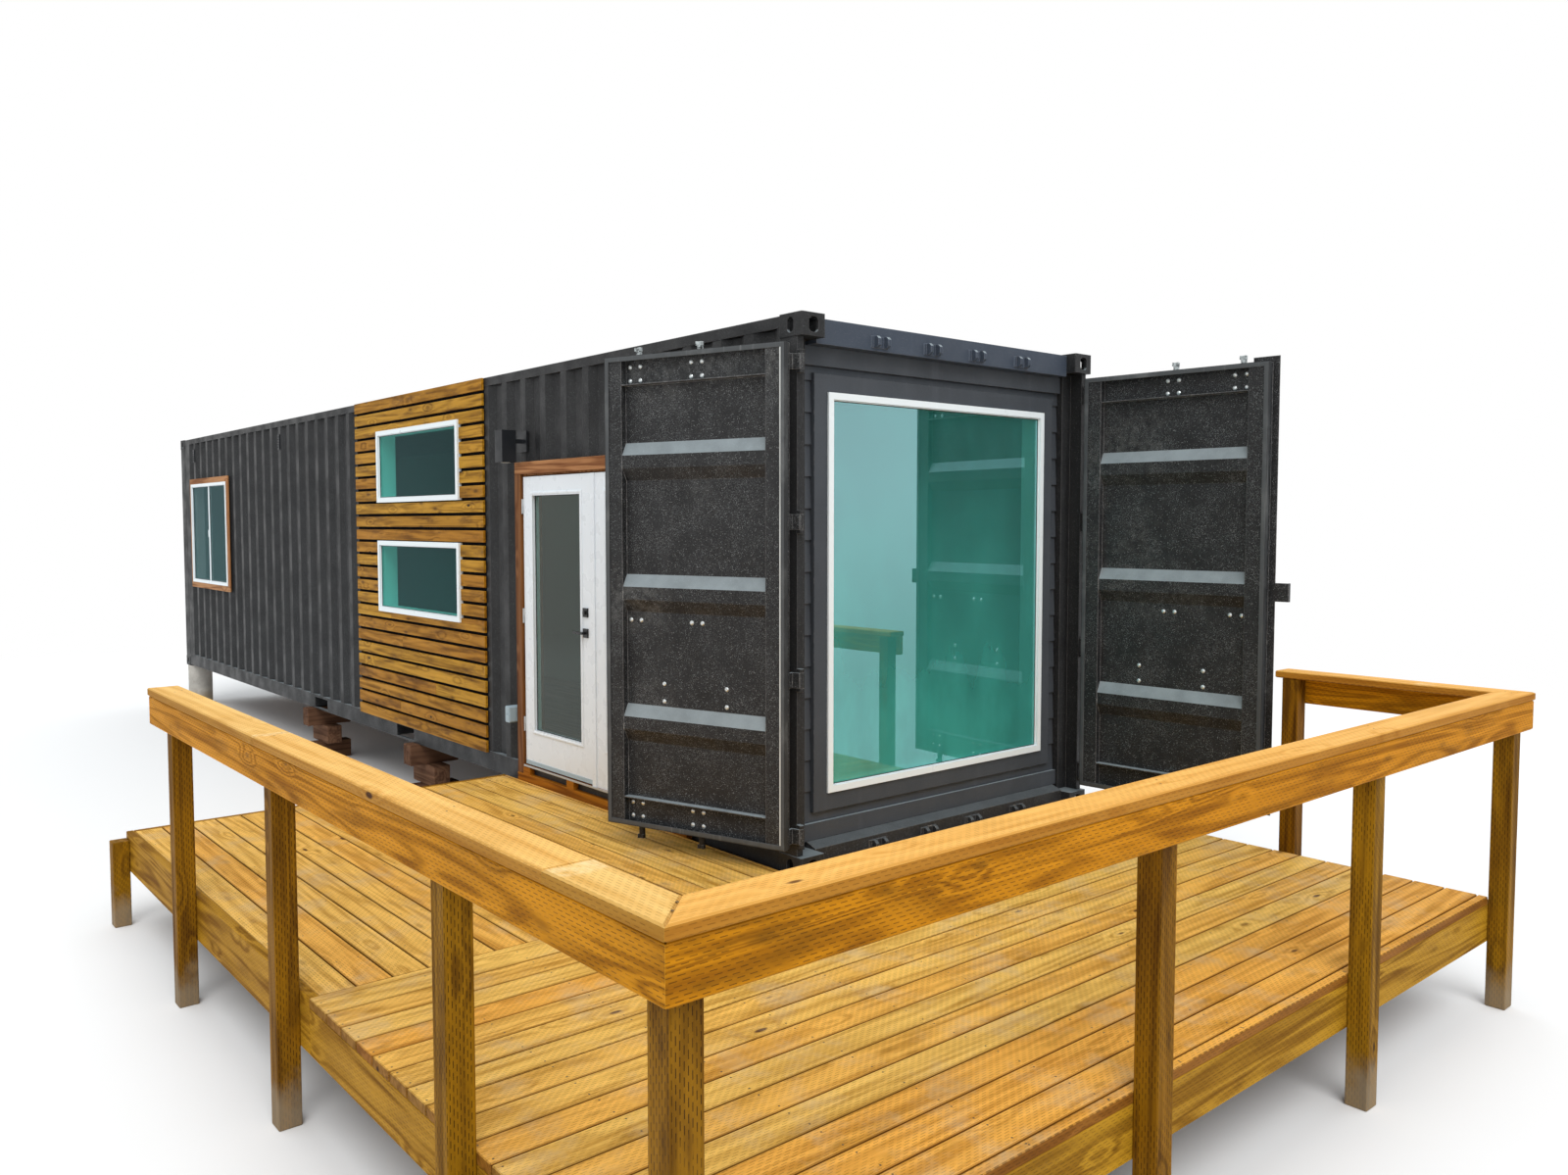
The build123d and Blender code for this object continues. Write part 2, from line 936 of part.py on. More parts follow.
def entry_door_hardware():
    """Moving upper halves of the hinges, the lever handles and the deadbolt."""
    front, back = leaf_y()
    pieces = []
    x0, x1 = active_leaf_x()
    for z in hinge_heights:
        r = hinge_barrel_radius
        low = z + hinge_running_gap
        high = z + hinge_barrel_length / 2
        knuckle = Pos(-door_far, front - r, (low + high) / 2) * Cylinder(r, high - low)
        knuckle += block((-door_far, x0), (front - r - hinge_plate, front - r), (low, high))
        knuckle += block((x0 - hinge_plate, x0), (front - r, front + hinge_plate_reach), (low, high))
        pieces.append(knuckle)
    x = x1 - stile / 2
    for face, out in ((front, -1), (back, 1)):
        lever = plate_on(face, out, (x, lever_height), rose_size, rose_thickness)
        lever += plate_on(face, out, (x, lever_height), lever_bar, lever_standoff)
        tip = face + out * lever_standoff
        half = lever_bar / 2
        bar_y = sorted((tip, tip - out * lever_bar))
        lever += block((x - lever_reach, x + half), bar_y, (lever_height - half, lever_height + half))
        bolt = plate_on(face, out, (x, deadbolt_height), rose_size, rose_thickness)
        bolt += plate_on(face, out, (x, deadbolt_height), deadbolt_knob, deadbolt_proud)
        pieces += [lever, bolt]
    return pieces


def door_hinge_plates():
    """Fixed halves of the hinges: a plate on the jamb with the lower barrel."""
    front, back = leaf_y()
    r = hinge_barrel_radius
    plates = []
    for z in hinge_heights:
        low = z - hinge_barrel_length / 2
        high = z + hinge_barrel_length / 2
        xs = (-door_far, -door_far + hinge_plate)
        hinge = block(xs, (front, front + hinge_plate_reach), (low, high))
        hinge += Pos(-door_far, front - r, (low + z) / 2) * Cylinder(r, z - low)
        hinge += block(xs, (front - r, front), (low, z))
        plates.append(hinge)
    return plates


def fixed_door_leaf():
    span = fixed_leaf_x()
    leaf = door_leaf(span, bottom_rail_top)
    front, back = leaf_y()
    far = -door_far + leaf_width
    leaf += block((far, far + mullion), (front - astragal_proud, back), (bottom_rail_top, leaf_top))
    return leaf


def door_frame():
    """Stained jambs, head and threshold with stops inside the leaves."""
    far, near, low, high = door_opening()
    front = -trim_front + trim_thickness
    ys = (front, jamb_back)
    frame = block((far, far + jamb), ys, (bottom_rail_top, high))
    frame += block((near - jamb, near), ys, (bottom_rail_top, high))
    frame += block((far, near), ys, (high - jamb, high))
    back = leaf_y()[1] + stop_gap
    stop_y = (back, back + stop_depth)
    inner_far = far + jamb
    inner_near = near - jamb
    frame += block((inner_far, inner_far + stop_width), stop_y, (bottom_rail_top, high - jamb))
    frame += block((inner_near - stop_width, inner_near), stop_y, (bottom_rail_top, high - jamb))
    frame += block((inner_far, inner_near), stop_y, (high - jamb - stop_width, high - jamb))
    floor_edge = outer + bottom_rail_flange
    frame += block((far, near), (back, floor_edge), (bottom_rail_top, floor_top))
    frame -= block((far - overcut, near + overcut), (floor_edge, jamb_back + overcut), (0, floor_top))
    return frame


def door_trim():
    """Flat boards on the wall beside and over the doors."""
    far, near, low, high = door_opening()
    inner_far = far + jamb - trim_reveal
    inner_near = near - jamb + trim_reveal
    inner_high = high - jamb + trim_reveal
    ys = (-trim_front, -trim_front + trim_thickness)
    side_low = blocking_plate_top
    left = block((inner_far - trim_width, inner_far), ys, (side_low, inner_high))
    right = block((inner_near, inner_near + trim_width), ys, (side_low, inner_high))
    head_x = (inner_far - trim_width, inner_near + trim_width)
    head = block(head_x, ys, (inner_high, inner_high + trim_width))
    back_y = (ys[1], sheet_front)
    left += block((inner_far - trim_width, far), back_y, (bottom_rail_top, inner_high))
    right += block((near, inner_near + trim_width), back_y, (bottom_rail_top, inner_high))
    head += block(head_x, back_y, (high, inner_high + trim_width))
    return left + right + head


def sill_blocking():
    """Bottom plate with short blocks that carry the threshold."""
    far, near, low, high = door_opening()
    x0 = far + jamb - trim_reveal - trim_width
    x1 = near - jamb + trim_reveal + trim_width
    ys = (-trim_front, outer)
    top = bottom_rail_top - threshold
    comb = block((x0, x1), ys, (0, blocking_plate_top))
    count = int((x1 - x0 - block_width) // block_spacing) + 1
    step = (x1 - x0 - 2 * trim_width - block_width) / (count - 1)
    for i in range(count):
        x = x0 + trim_width + step * i
        comb += block((x, x + block_width), ys, (blocking_plate_top, top))
    plate_y = (-trim_front + threshold_setback, outer)
    comb += block((x0 + trim_width, x1 - trim_width), plate_y, (top, bottom_rail_top))
    return comb


def cargo_pin():
    return -cargo_pin_setback, cargo_pin_in


def cargo_x():
    """Inner and outer face of a closed cargo door."""
    return -cargo_outer_setback - cargo_thickness, -cargo_outer_setback


def cargo_leaf_closed():
    """Box stiles, channel rails open to the room, a ridged sheet and the hinge straps."""
    inner, face = cargo_x()
    y0 = cargo_edge
    y1 = centre_y - cargo_centre_gap
    zs = (cargo_low, cargo_top)
    leaf = block((inner, face), (y0, y1), zs)
    hole_y = (y0 + cargo_stile, y1 - cargo_stile)
    hole_z = (cargo_low + cargo_rail, cargo_top - cargo_rail)
    leaf -= block((inner - overcut, face + overcut), hole_y, hole_z)
    p = cargo_rail_plate
    for a, b in ((zs[0], hole_z[0]), (hole_z[1], zs[1])):
        leaf -= block((inner - overcut, face - p), hole_y, (a + p, b - p))
    base = inner + cargo_panel_in
    outline = [(base, hole_z[0])]
    middle = (hole_z[0] + hole_z[1]) / 2
    for i in range(ridge_count):
        z = middle + (i - (ridge_count - 1) / 2) * ridge_spacing
        outline += [
            (base, z - ridge_base / 2),
            (base - ridge_depth, z - ridge_crest / 2),
            (base - ridge_depth, z + ridge_crest / 2),
            (base, z + ridge_base / 2),
        ]
    outline.append((base, hole_z[1]))
    outline += [(x + cargo_sheet, z) for x, z in reversed(outline)]
    leaf += along_y(outline, *hole_y)
    px, py = cargo_pin()
    bend = cargo_edge + strap_clear
    arm = [
        (px - arm_inner, py),
        (px - arm_outer, py),
        (px - arm_outer, bend + strap_bend),
        (face + strap_thickness, bend + strap_bend),
        (face + strap_thickness, bend + strap_reach),
        (face, bend + strap_reach),
        (face, bend),
        (px - arm_inner, bend),
    ]
    for z in hinge_z():
        low = z - knuckle_height / 2
        high = z + knuckle_height / 2
        leaf += prism(arm, low, high)
        leaf += Pos(px, py, z) * barrel(knuckle_radius, knuckle_height, knuckle_sides)
        leaf -= Pos(px, py, z) * Cylinder(pin_radius + pin_clearance, knuckle_height + 2 * overcut)
    return leaf


def cover_plate_closed():
    """Strip over the gap between the doors, its wider top corner and the lock plate."""
    face = cargo_x()[1]
    edge = centre_y - cargo_centre_gap
    near = face + cover_standoff
    front = near + cover_thickness
    reach = edge + cover_reach
    profile = [
        (face, edge - cover_lap),
        (front, edge - cover_lap),
        (front, reach),
        (near, reach),
        (near, edge),
        (face, edge),
    ]
    strip = prism(profile, cargo_low, cargo_top)
    low = cargo_top - cover_corner_depth
    inward = edge - cover_corner_width
    strip += block((face, front), (inward, edge), (low, cargo_top))
    strip += block((near, front), (inward, reach), (low, cargo_top + cover_corner_rise))
    zs = (lock_plate_height - lock_plate_size / 2, lock_plate_height + lock_plate_size / 2)
    tip = reach + lock_plate_reach
    strip += block((near, near + lock_plate_thickness), (edge, tip), zs)
    strip += block((near, near + lock_plate_flange), (tip - lock_plate_thickness, tip), zs)
    return strip


def cargo_seal_closed():
    """Band on the door's inner face with a lip that wraps its edges."""
    inner = cargo_x()[0]
    s = seal_lip
    ys = (cargo_edge - s, centre_y - cargo_centre_gap + s)
    zs = (cargo_low - s, cargo_top + s)
    band = ring((inner - seal_proud, inner), ys, zs, seal_band, 0)
    return band + ring((inner, inner - seal_proud + seal_depth), ys, zs, s, 0)


def cargo_rods_closed():
    """Lock rods with cams, guides, handle and catch, one solid per rod."""
    face = cargo_x()[1]
    x = face + rod_standoff
    rods = []
    half = cam_width / 2
    for y in rod_y()[:2]:
        span = rod_high - rod_low - 2 * cam_height
        rod = Pos(x, y, (rod_low + rod_high) / 2) * Cylinder(rod_radius, span)
        cam = [
            (x - cam_back, y - half),
            (x + cam_front - half, y - half),
            (x + cam_front, y),
            (x + cam_front - half, y + half),
            (x - cam_back, y + half),
            (x - cam_back + cam_notch, y),
        ]
        rod += prism(cam, rod_low, rod_low + cam_height)
        rod += prism(cam, rod_high - cam_height, rod_high)
        for z in guide_heights:
            zs = (z - guide_height / 2, z + guide_height / 2)
            rod += block((face, x), (y - guide_width / 2, y + guide_width / 2), zs)
        zs = (handle_height - handle_bar_height / 2, handle_height + handle_bar_height / 2)
        rod += block((x - handle_bar_depth / 2, x + handle_bar_depth / 2), (y - handle_length, y), zs)
        c = y - catch_offset
        zs = (handle_height - catch_height / 2, handle_height + catch_height / 2)
        rod += block((face, x), (c - catch_width / 2, c + catch_width / 2), zs)
        rods.append(rod)
    return rods


def open_left(shape):
    px, py = cargo_pin()
    return shape.rotate(Axis((px, py, 0), (0, 0, 1)), -left_open_angle)


def open_right(shape):
    px, py = cargo_pin()
    return far_side(shape).rotate(Axis((px, width - py, 0), (0, 0, 1)), right_open_angle)


def wall_lamp():
    """Up and down light on an arm and a wall plate."""
    x = crest_x(lamp_crest)
    x0 = x - lamp_size / 2
    x1 = x0 + lamp_size
    back = -lamp_standoff
    lamp = block((x0, x1), (back - lamp_size, back), (lamp_low, lamp_low + lamp_height))
    half = lamp_plate_width / 2
    plate_y = (sheet_front - lamp_plate_thickness, sheet_front)
    plate_z = (lamp_plate_low, lamp_plate_low + lamp_plate_height)
    lamp += block((x - half, x + half), plate_y, plate_z)
    z = lamp_plate_low + lamp_plate_height / 2
    reach = plate_y[1] - back
    return lamp + Pos(x, back + reach / 2, z) * Box(lamp_arm, reach, lamp_arm)


def outlet_box():
    x = (crest_x(outlet_crest) + crest_x(outlet_crest - 1)) / 2
    xs = (x - outlet_width / 2, x + outlet_width / 2)
    ys = (sheet_front - outlet_depth, sheet_front + wall_depth)
    body = block(xs, ys, (outlet_low, outlet_low + outlet_height))
    return chamfer(body.edges().filter_by(Axis.Y), outlet_edge)


def wall_vents():
    vents = []
    last = int((length - casting_x - wall_first_crest - wall_crest / 2) // wall_pitch)
    for back in vent_crests_from_blank_end:
        x = crest_x(last + 1 - back)
        xs = (x - vent_width / 2, x + vent_width / 2)
        vent = block(xs, (sheet_front - vent_proud, sheet_front), (vent_low, vent_low + vent_height))
        step = vent_height / (vent_slots + 1)
        for i in range(vent_slots):
            z = vent_low + step * (i + 1)
            slot_x = (xs[0] + vent_margin, xs[1] - vent_margin)
            slot_y = (sheet_front - vent_proud - overcut, sheet_front - vent_back)
            half = vent_slot_height / 2
            vent -= block(slot_x, slot_y, (z - half, z + half))
        vents.append(vent)
    return vents


def piers():
    pier = Pos(-pier_inset_x, pier_inset_y, -pier_height / 2) * Cylinder(pier_radius, pier_height)
    near = [pier, far_side(pier)]
    return near + [far_end(s) for s in near]


def cribbing():
    """Crossed timbers under the bottom side rails."""
    stacks = []
    for x in (length / 2 - crib_spacing / 2, length / 2 + crib_spacing / 2):
        y = outer + bottom_rail_flange / 2
        high = bottom_rail_low
        layer = (pier_height + high) / crib_layers
        stack = None
        for i in range(crib_layers):
            z = -pier_height + layer * i
            long_x = i % 2 == 1
            half_x = crib_length / 2 if long_x else crib_timber / 2
            half_y = crib_timber / 2 if long_x else crib_length / 2
            cy = y + crib_setback
            timber_block = block((-x - half_x, -x + half_x), (cy - half_y, cy + half_y), (z, z + layer))
            stack = timber_block if stack is None else stack + timber_block
        stacks += [stack, far_side(stack)]
    return stacks


def deck_levels():
    board_low = deck_top - board_thickness
    return board_low - rim_height, board_low, deck_top


def deck_boards():
    low, mid, top = deck_levels()
    inner_y = -trim_front - joint_gap
    side = block((deck_far_x + timber + joint_gap, breaker_x - joint_gap),
                 (-deck_side_reach + timber + joint_gap, inner_y), (mid, top))
    breaker = block((breaker_x, deck_wall_gap - joint_gap), (-deck_side_reach, inner_y), (mid, top))
    front = block((deck_wall_gap, deck_front_reach), (-deck_side_reach, deck_right_y), (mid, top))
    return [side, breaker, front]


def deck_rim():
    """Outer boards of the deck frame and the ledgers along the container."""
    low, mid, top = deck_levels()
    t = timber
    g = joint_gap
    out = post_size
    side_far = block((deck_far_x, breaker_x), (-deck_side_reach, -deck_side_reach + t), (low, top))
    far = block((deck_far_x, deck_far_x + t), (-deck_side_reach + t + g, -trim_front - g), (low, top))
    side_near = block((breaker_x + g, deck_front_reach - t - g),
                      (-deck_side_reach, -deck_side_reach + t), (low, mid))
    front = block((deck_front_reach - t, deck_front_reach),
                  (-deck_side_reach - out, deck_right_y + out), (low, mid))
    right = block((deck_wall_gap, deck_front_reach - t - g), (deck_right_y - t, deck_right_y), (low, mid))
    wall_y = -trim_front - g
    ledger = block((deck_far_x + t + g, deck_wall_gap - g), (wall_y - t, wall_y), (low, mid))
    end_ledger = block((deck_wall_gap, deck_wall_gap + t), (wall_y - t, deck_right_y - t - g), (low, mid))
    return [side_far, far, side_near, front, right, ledger, end_ledger]


def deck_joists():
    low, mid, top = deck_levels()
    t = timber
    g = joint_gap
    joists = []
    ys = (-deck_side_reach + t + g, -trim_front - g - t - g)
    x = deck_far_x + deck_joist_pitch
    while x < -deck_joist_pitch / 2:
        joists.append(block((x, x + t), ys, (low, mid)))
        x += deck_joist_pitch
    xs = (deck_wall_gap + t + g, deck_front_reach - t - g)
    y = -deck_side_reach + deck_joist_pitch
    while y < deck_right_y - deck_joist_pitch / 2:
        joists.append(block(xs, (y, y + t), (low, mid)))
        y += deck_joist_pitch
    return joists


def rail_outer():
    """Outer faces of the rail beams: low y, high x, high y."""
    out = post_size + timber
    return -deck_side_reach - out, deck_front_reach + out, deck_right_y + out


def deck_posts():
    low, mid, top = deck_levels()
    ground = -pier_height
    high = rail_top - timber
    p = post_size
    yo = -deck_side_reach
    xo = deck_front_reach
    posts = []
    for x in side_post_positions:
        posts.append(block((x, x + p), (yo - p, yo), (ground, high)))
    posts.append(block((xo, xo + p), (yo - p, yo), (ground, high)))
    for y in front_post_positions:
        posts.append(block((xo, xo + p), (y, y + p), (ground, high)))
    posts.append(block((xo, xo + p), (deck_right_y, deck_right_y + p), (ground, high)))
    posts.append(block((return_post_x, return_post_x + p), (deck_right_y, deck_right_y + p), (ground, high)))
    posts.append(block((deck_far_x, deck_far_x + p), (yo - p, yo), (ground, mid)))
    wall_y = -trim_front - joint_gap
    for f in ledger_post_fractions:
        x = deck_far_x * (1 - f)
        posts.append(block((x - p / 2, x + p / 2), (wall_y - p, wall_y), (ground, low)))
        y = wall_y + (deck_right_y - wall_y) * f
        posts.append(block((deck_wall_gap, deck_wall_gap + p), (y - p / 2, y + p / 2), (ground, low)))
    return posts


def rail_beams():
    yo, xo, yr = rail_outer()
    t = timber
    g = joint_gap
    zs = (rail_top - t - beam_height, rail_top - t)
    side = block((rail_far_end, xo), (yo, yo + t), zs)
    front = block((xo - t, xo), (yo + t + g, yr), zs)
    back = block((return_end_x, xo - t - g), (yr - t, yr), zs)
    return [side, front, back]


def rail_caps():
    """Flat cap boards with mitred corners."""
    yo, xo, yr = rail_outer()
    c = cap_overhang
    yo -= c
    xo += c
    yr += c
    w = cap_width
    m = mitre_gap
    zs = (rail_top - timber, rail_top)
    side = [(rail_far_end - c, yo), (xo - m, yo), (xo - w - m, yo + w), (rail_far_end - c, yo + w)]
    front = [(xo, yo + m), (xo, yr - m), (xo - w, yr - w - m), (xo - w, yo + w + m)]
    back = [(xo - m, yr), (return_end_x - c, yr), (return_end_x - c, yr - w), (xo - w - m, yr - w)]
    return [prism(points, *zs) for points in (side, front, back)]


def main():
    add("corner_castings", *corner_castings())
    add("corner_posts", *corner_posts())
    add("top_side_rails", *top_side_rails())
    add("bottom_side_rails", *bottom_side_rails())
    add("fork_pockets", *fork_pockets())
    add("door_header", door_header())
    add("door_sill", door_sill())
    add("blank_end_rails", *blank_end_rails())
    long_piece, over, end = entry_wall_pieces()
    add("entry_wall_long", long_piece)
    add("entry_wall_over_door", over)
    add("entry_wall_door_end", end)
    add("far_wall", far_side(side_sheet()))
    add("blank_end_wall", blank_end_wall())
    add("roof_sheet", roof_sheet())
    add("floor_boards", floor_boards())
    add("floor_joists", *floor_joists())
    add("entry_lining", *entry_lining())
    add("far_lining", far_lining())
    add("blank_end_lining", blank_end_lining())
    add("ceiling", ceiling())
    add("end_wall_panel", end_wall_panel())
    add("end_wall_siding", end_wall_siding())
    add("end_wall_trim", *end_wall_trim())
    add("end_window_frame", end_window_frame())
    add("side_window_frames", *side_window_frames())
    add("window_glass", *window_glass())
    add("slider_window_trim", slider_window_trim())
    add("slat_cladding", slat_cladding())
    add("door_frame", door_frame())
    add("door_trim", door_trim())
    add("sill_blocking", sill_blocking())
    add("fixed_door_leaf", fixed_door_leaf())
    add("entry_door_leaf", door_leaf(active_leaf_x()))
    add("entry_door_glass", entry_door_glass())
    add("entry_door_hardware", *entry_door_hardware())
    add("door_hinge_plates", *door_hinge_plates())
    leaf = cargo_leaf_closed()
    seal = cargo_seal_closed()
    rods = cargo_rods_closed()
    add("left_cargo_leaf", open_left(leaf))
    add("left_leaf_seal", open_left(seal))
    add("left_lock_rods", *[open_left(r) for r in rods])
    add("right_cargo_leaf", open_right(leaf + cover_plate_closed()))
    add("right_leaf_seal", open_right(seal))
    add("right_lock_rods", *[open_right(r) for r in rods])
    add("wall_lamp", wall_lamp())
    add("outlet_box", outlet_box())
    add("wall_vents", *wall_vents())
    add("piers", *piers())
    add("cribbing", *cribbing())
    add("deck_boards", *deck_boards())
    add("deck_rim", *deck_rim())
    add("deck_joists", *deck_joists())
    add("deck_posts", *deck_posts())
    add("rail_beams", *rail_beams())
    add("rail_caps", *rail_caps())
    write_nodes()


main()
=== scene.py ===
import json
import math
import random

import bmesh
import bpy
from mathutils import Matrix, Vector


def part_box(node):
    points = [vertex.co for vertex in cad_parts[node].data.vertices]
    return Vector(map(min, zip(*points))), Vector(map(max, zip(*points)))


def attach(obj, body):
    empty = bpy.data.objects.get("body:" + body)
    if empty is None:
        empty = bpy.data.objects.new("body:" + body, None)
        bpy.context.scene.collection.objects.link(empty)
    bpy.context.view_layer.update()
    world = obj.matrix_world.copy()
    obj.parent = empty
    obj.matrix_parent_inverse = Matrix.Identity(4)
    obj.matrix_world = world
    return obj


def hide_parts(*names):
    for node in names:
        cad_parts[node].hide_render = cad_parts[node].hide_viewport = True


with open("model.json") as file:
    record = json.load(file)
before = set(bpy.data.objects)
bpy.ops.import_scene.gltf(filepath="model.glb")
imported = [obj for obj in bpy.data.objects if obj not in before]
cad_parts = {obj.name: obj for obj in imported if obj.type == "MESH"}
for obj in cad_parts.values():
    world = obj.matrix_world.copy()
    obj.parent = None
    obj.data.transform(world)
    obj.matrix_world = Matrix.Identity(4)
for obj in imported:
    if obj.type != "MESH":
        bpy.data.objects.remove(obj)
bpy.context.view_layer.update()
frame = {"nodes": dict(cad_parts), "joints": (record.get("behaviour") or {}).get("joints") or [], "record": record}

NODES = frame["nodes"]
JOINTS = {joint["name"]: joint for joint in frame["joints"]}
RNG = random.Random(8590)
# Pale bluish colour of dust on ledges, with a painted sky sheen in it.
PALE_DUST_AND_SKY_SHEEN = (0.30, 0.35, 0.37)


# Shader building blocks

COLOUR_MIX_INPUTS = (0, 6, 7)
COLOUR_MIX_OUTPUT = 2
BEVEL_SAMPLES = 6
EDGE_COSINES = (0.995, 0.86)
FINISH = {}


class Nodes:
    """Short calls for the nodes of one tree."""

    def __init__(self, tree):
        self.tree = tree

    def put(self, socket, value):
        if isinstance(value, bpy.types.NodeSocket):
            self.tree.links.new(value, socket)
        elif isinstance(value, (tuple, list)) and socket.type == "RGBA":
            socket.default_value = (*value[:3], 1.0)
        else:
            socket.default_value = value

    def node(self, kind, *values, **settings):
        n = self.tree.nodes.new(kind)
        for key, value in settings.items():
            setattr(n, key, value)
        for i, value in enumerate(values):
            if value is not None:
                self.put(n.inputs[i], value)
        return n

    def fed(self, kind, **inputs):
        """A node whose inputs are given by name."""
        n = self.node(kind)
        for key, value in inputs.items():
            if value is not None:
                self.put(n.inputs[key], value)
        return n

    def coords(self, attribute=None):
        if attribute:
            return self.node("ShaderNodeAttribute", attribute_name=attribute).outputs["Vector"]
        return self.node("ShaderNodeTexCoord").outputs["Object"]

    def stretch(self, vector, scale):
        return self.fed("ShaderNodeMapping", Vector=vector, Scale=scale).outputs[0]

    def noise(self, vector, scale, detail=3.0, rough=0.55, distort=0.0):
        n = self.fed("ShaderNodeTexNoise", Vector=vector, Scale=scale, Detail=detail,
                     Roughness=rough, Distortion=distort)
        return n.outputs["Fac"]

    def cells(self, vector, scale):
        return self.fed("ShaderNodeTexVoronoi", Vector=vector, Scale=scale).outputs["Distance"]

    def math(self, operation, a, b=None, c=None):
        return self.node("ShaderNodeMath", a, b, c, operation=operation).outputs[0]

    def times(self, first, *others):
        for other in others:
            first = self.math("MULTIPLY", first, other)
        return first

    def fit(self, value, low, high, to_low=0.0, to_high=1.0):
        n = self.node("ShaderNodeMapRange", value, low, high, to_low, to_high)
        n.interpolation_type = "SMOOTHSTEP"
        return n.outputs[0]

    def axis(self, vector, index):
        return self.node("ShaderNodeSeparateXYZ", vector).outputs[index]

    def blend(self, share, first, second):
        """Two shaders mixed by a share."""
        return self.node("ShaderNodeMixShader", share, first, second).outputs[0]

    def backdrop_rays(self):
        """Share of rays that see the backdrop, directly, in a reflection or through glass."""
        rays = self.node("ShaderNodeLightPath").outputs
        seen = self.math("MAXIMUM", rays["Is Camera Ray"], rays["Is Glossy Ray"])
        return self.math("MAXIMUM", seen, rays["Is Transmission Ray"])

    def mix(self, factor, a, b, blend="MIX"):
        n = self.node("ShaderNodeMix", data_type="RGBA", blend_type=blend)
        for socket, value in zip(COLOUR_MIX_INPUTS, (factor, a, b)):
            self.put(n.inputs[socket], value)
        return n.outputs[COLOUR_MIX_OUTPUT]

    def ramp(self, factor, *stops):
        n = self.node("ShaderNodeValToRGB", factor)
        band = n.color_ramp
        while len(band.elements) < len(stops):
            band.elements.new(0.5)
        for element, (place, colour) in zip(band.elements, stops):
            element.position = place
            element.color = (*colour, 1.0)
        return n.outputs[0]


class Shader(Nodes):
    """One material with what the finishes share, kept in FINISH under its name."""

    def __init__(self, name, rough=0.5, metal=0.0, specular=0.5):
        self.material = FINISH[name] = bpy.data.materials.new(name)
        self.material.use_nodes = True
        super().__init__(self.material.node_tree)
        self.tree.nodes.clear()
        self.out = self.node("ShaderNodeOutputMaterial")
        self.bsdf = self.node("ShaderNodeBsdfPrincipled")
        self.surface(self.bsdf.outputs[0])
        self.put(self.bsdf.inputs["Roughness"], rough)
        self.put(self.bsdf.inputs["Metallic"], metal)
        self.put(self.bsdf.inputs["Specular IOR Level"], specular)

    def surface(self, shader):
        self.put(self.out.inputs[0], shader)

    def facing_up(self, low=0.2, high=0.5):
        """Share by which the surface looks at the sky."""
        normal = self.node("ShaderNodeNewGeometry").outputs["True Normal"]
        return self.fit(self.axis(normal, 2), low, high)

    def rounded(self, radius):
        """Normal of edges rounded by the radius, and a mask of those edges."""
        bevel = self.node("ShaderNodeBevel", radius, samples=BEVEL_SAMPLES).outputs[0]
        flat = self.node("ShaderNodeNewGeometry").outputs["True Normal"]
        turn = self.node("ShaderNodeVectorMath", bevel, flat, operation="DOT_PRODUCT")
        return bevel, self.fit(turn.outputs["Value"], *EDGE_COSINES)

    def relief(self, height, distance, strength=1.0, normal=None):
        n = self.fed("ShaderNodeBump", Height=height, Distance=distance, Strength=strength,
                     Normal=normal)
        return n.outputs[0]

    def finish(self, colour, rough, normal):
        for key, value in (("Base Color", colour), ("Roughness", rough), ("Normal", normal)):
            self.put(self.bsdf.inputs[key], value)
        return self.material


def shade(colour, factor, lift=0.0):
    return [min(1.0, c * factor + lift) for c in colour]


# Finishes

STEEL_ROUGH = 0.5
STEEL_EDGE = 0.006
PAINT_EDGE = 0.002
CONCRETE_EDGE = 0.006
CONCRETE_DARK = (0.30, 0.28, 0.25)
CONCRETE_LIGHT = (0.58, 0.55, 0.50)
PALE_SPECK = (0.22, 0.23, 0.235)
PALE_HAZE = (0.20, 0.20, 0.19)
LAP_SHADOW = (0.006, 0.006, 0.007)
BARE_STEEL = (0.50, 0.54, 0.54)
SATIN_METAL = (0.45, 0.47, 0.48)
SAND_FILM = (0.56, 0.42, 0.25)
SANDED_WOOD = (0.95, 0.74, 0.42)
SPLASHED_FOOT = (0.28, 0.23, 0.16)
PLANK_PATTERN = {
    "Scale": 1.0, "Mortar Size": 0.0025, "Brick Width": 1.2, "Row Height": 0.15,
    "Color1": (0.22, 0.10, 0.04), "Color2": (0.30, 0.15, 0.065), "Mortar": (0.04, 0.02, 0.01),
}
INCISED_ROWS = 92.0
INCISED_DASHES = 29.0
ROW_SHIFT = 0.37
TOP_FACES = (0.5, 0.9)
REFLECTION_FADE = (2.7, 1.1)
FILM_HEIGHTS = (3.1, 0.9)
LOWER_PANE_BRIGHTENING = (0.65, 2.3)
SPAN_FADE = 0.05


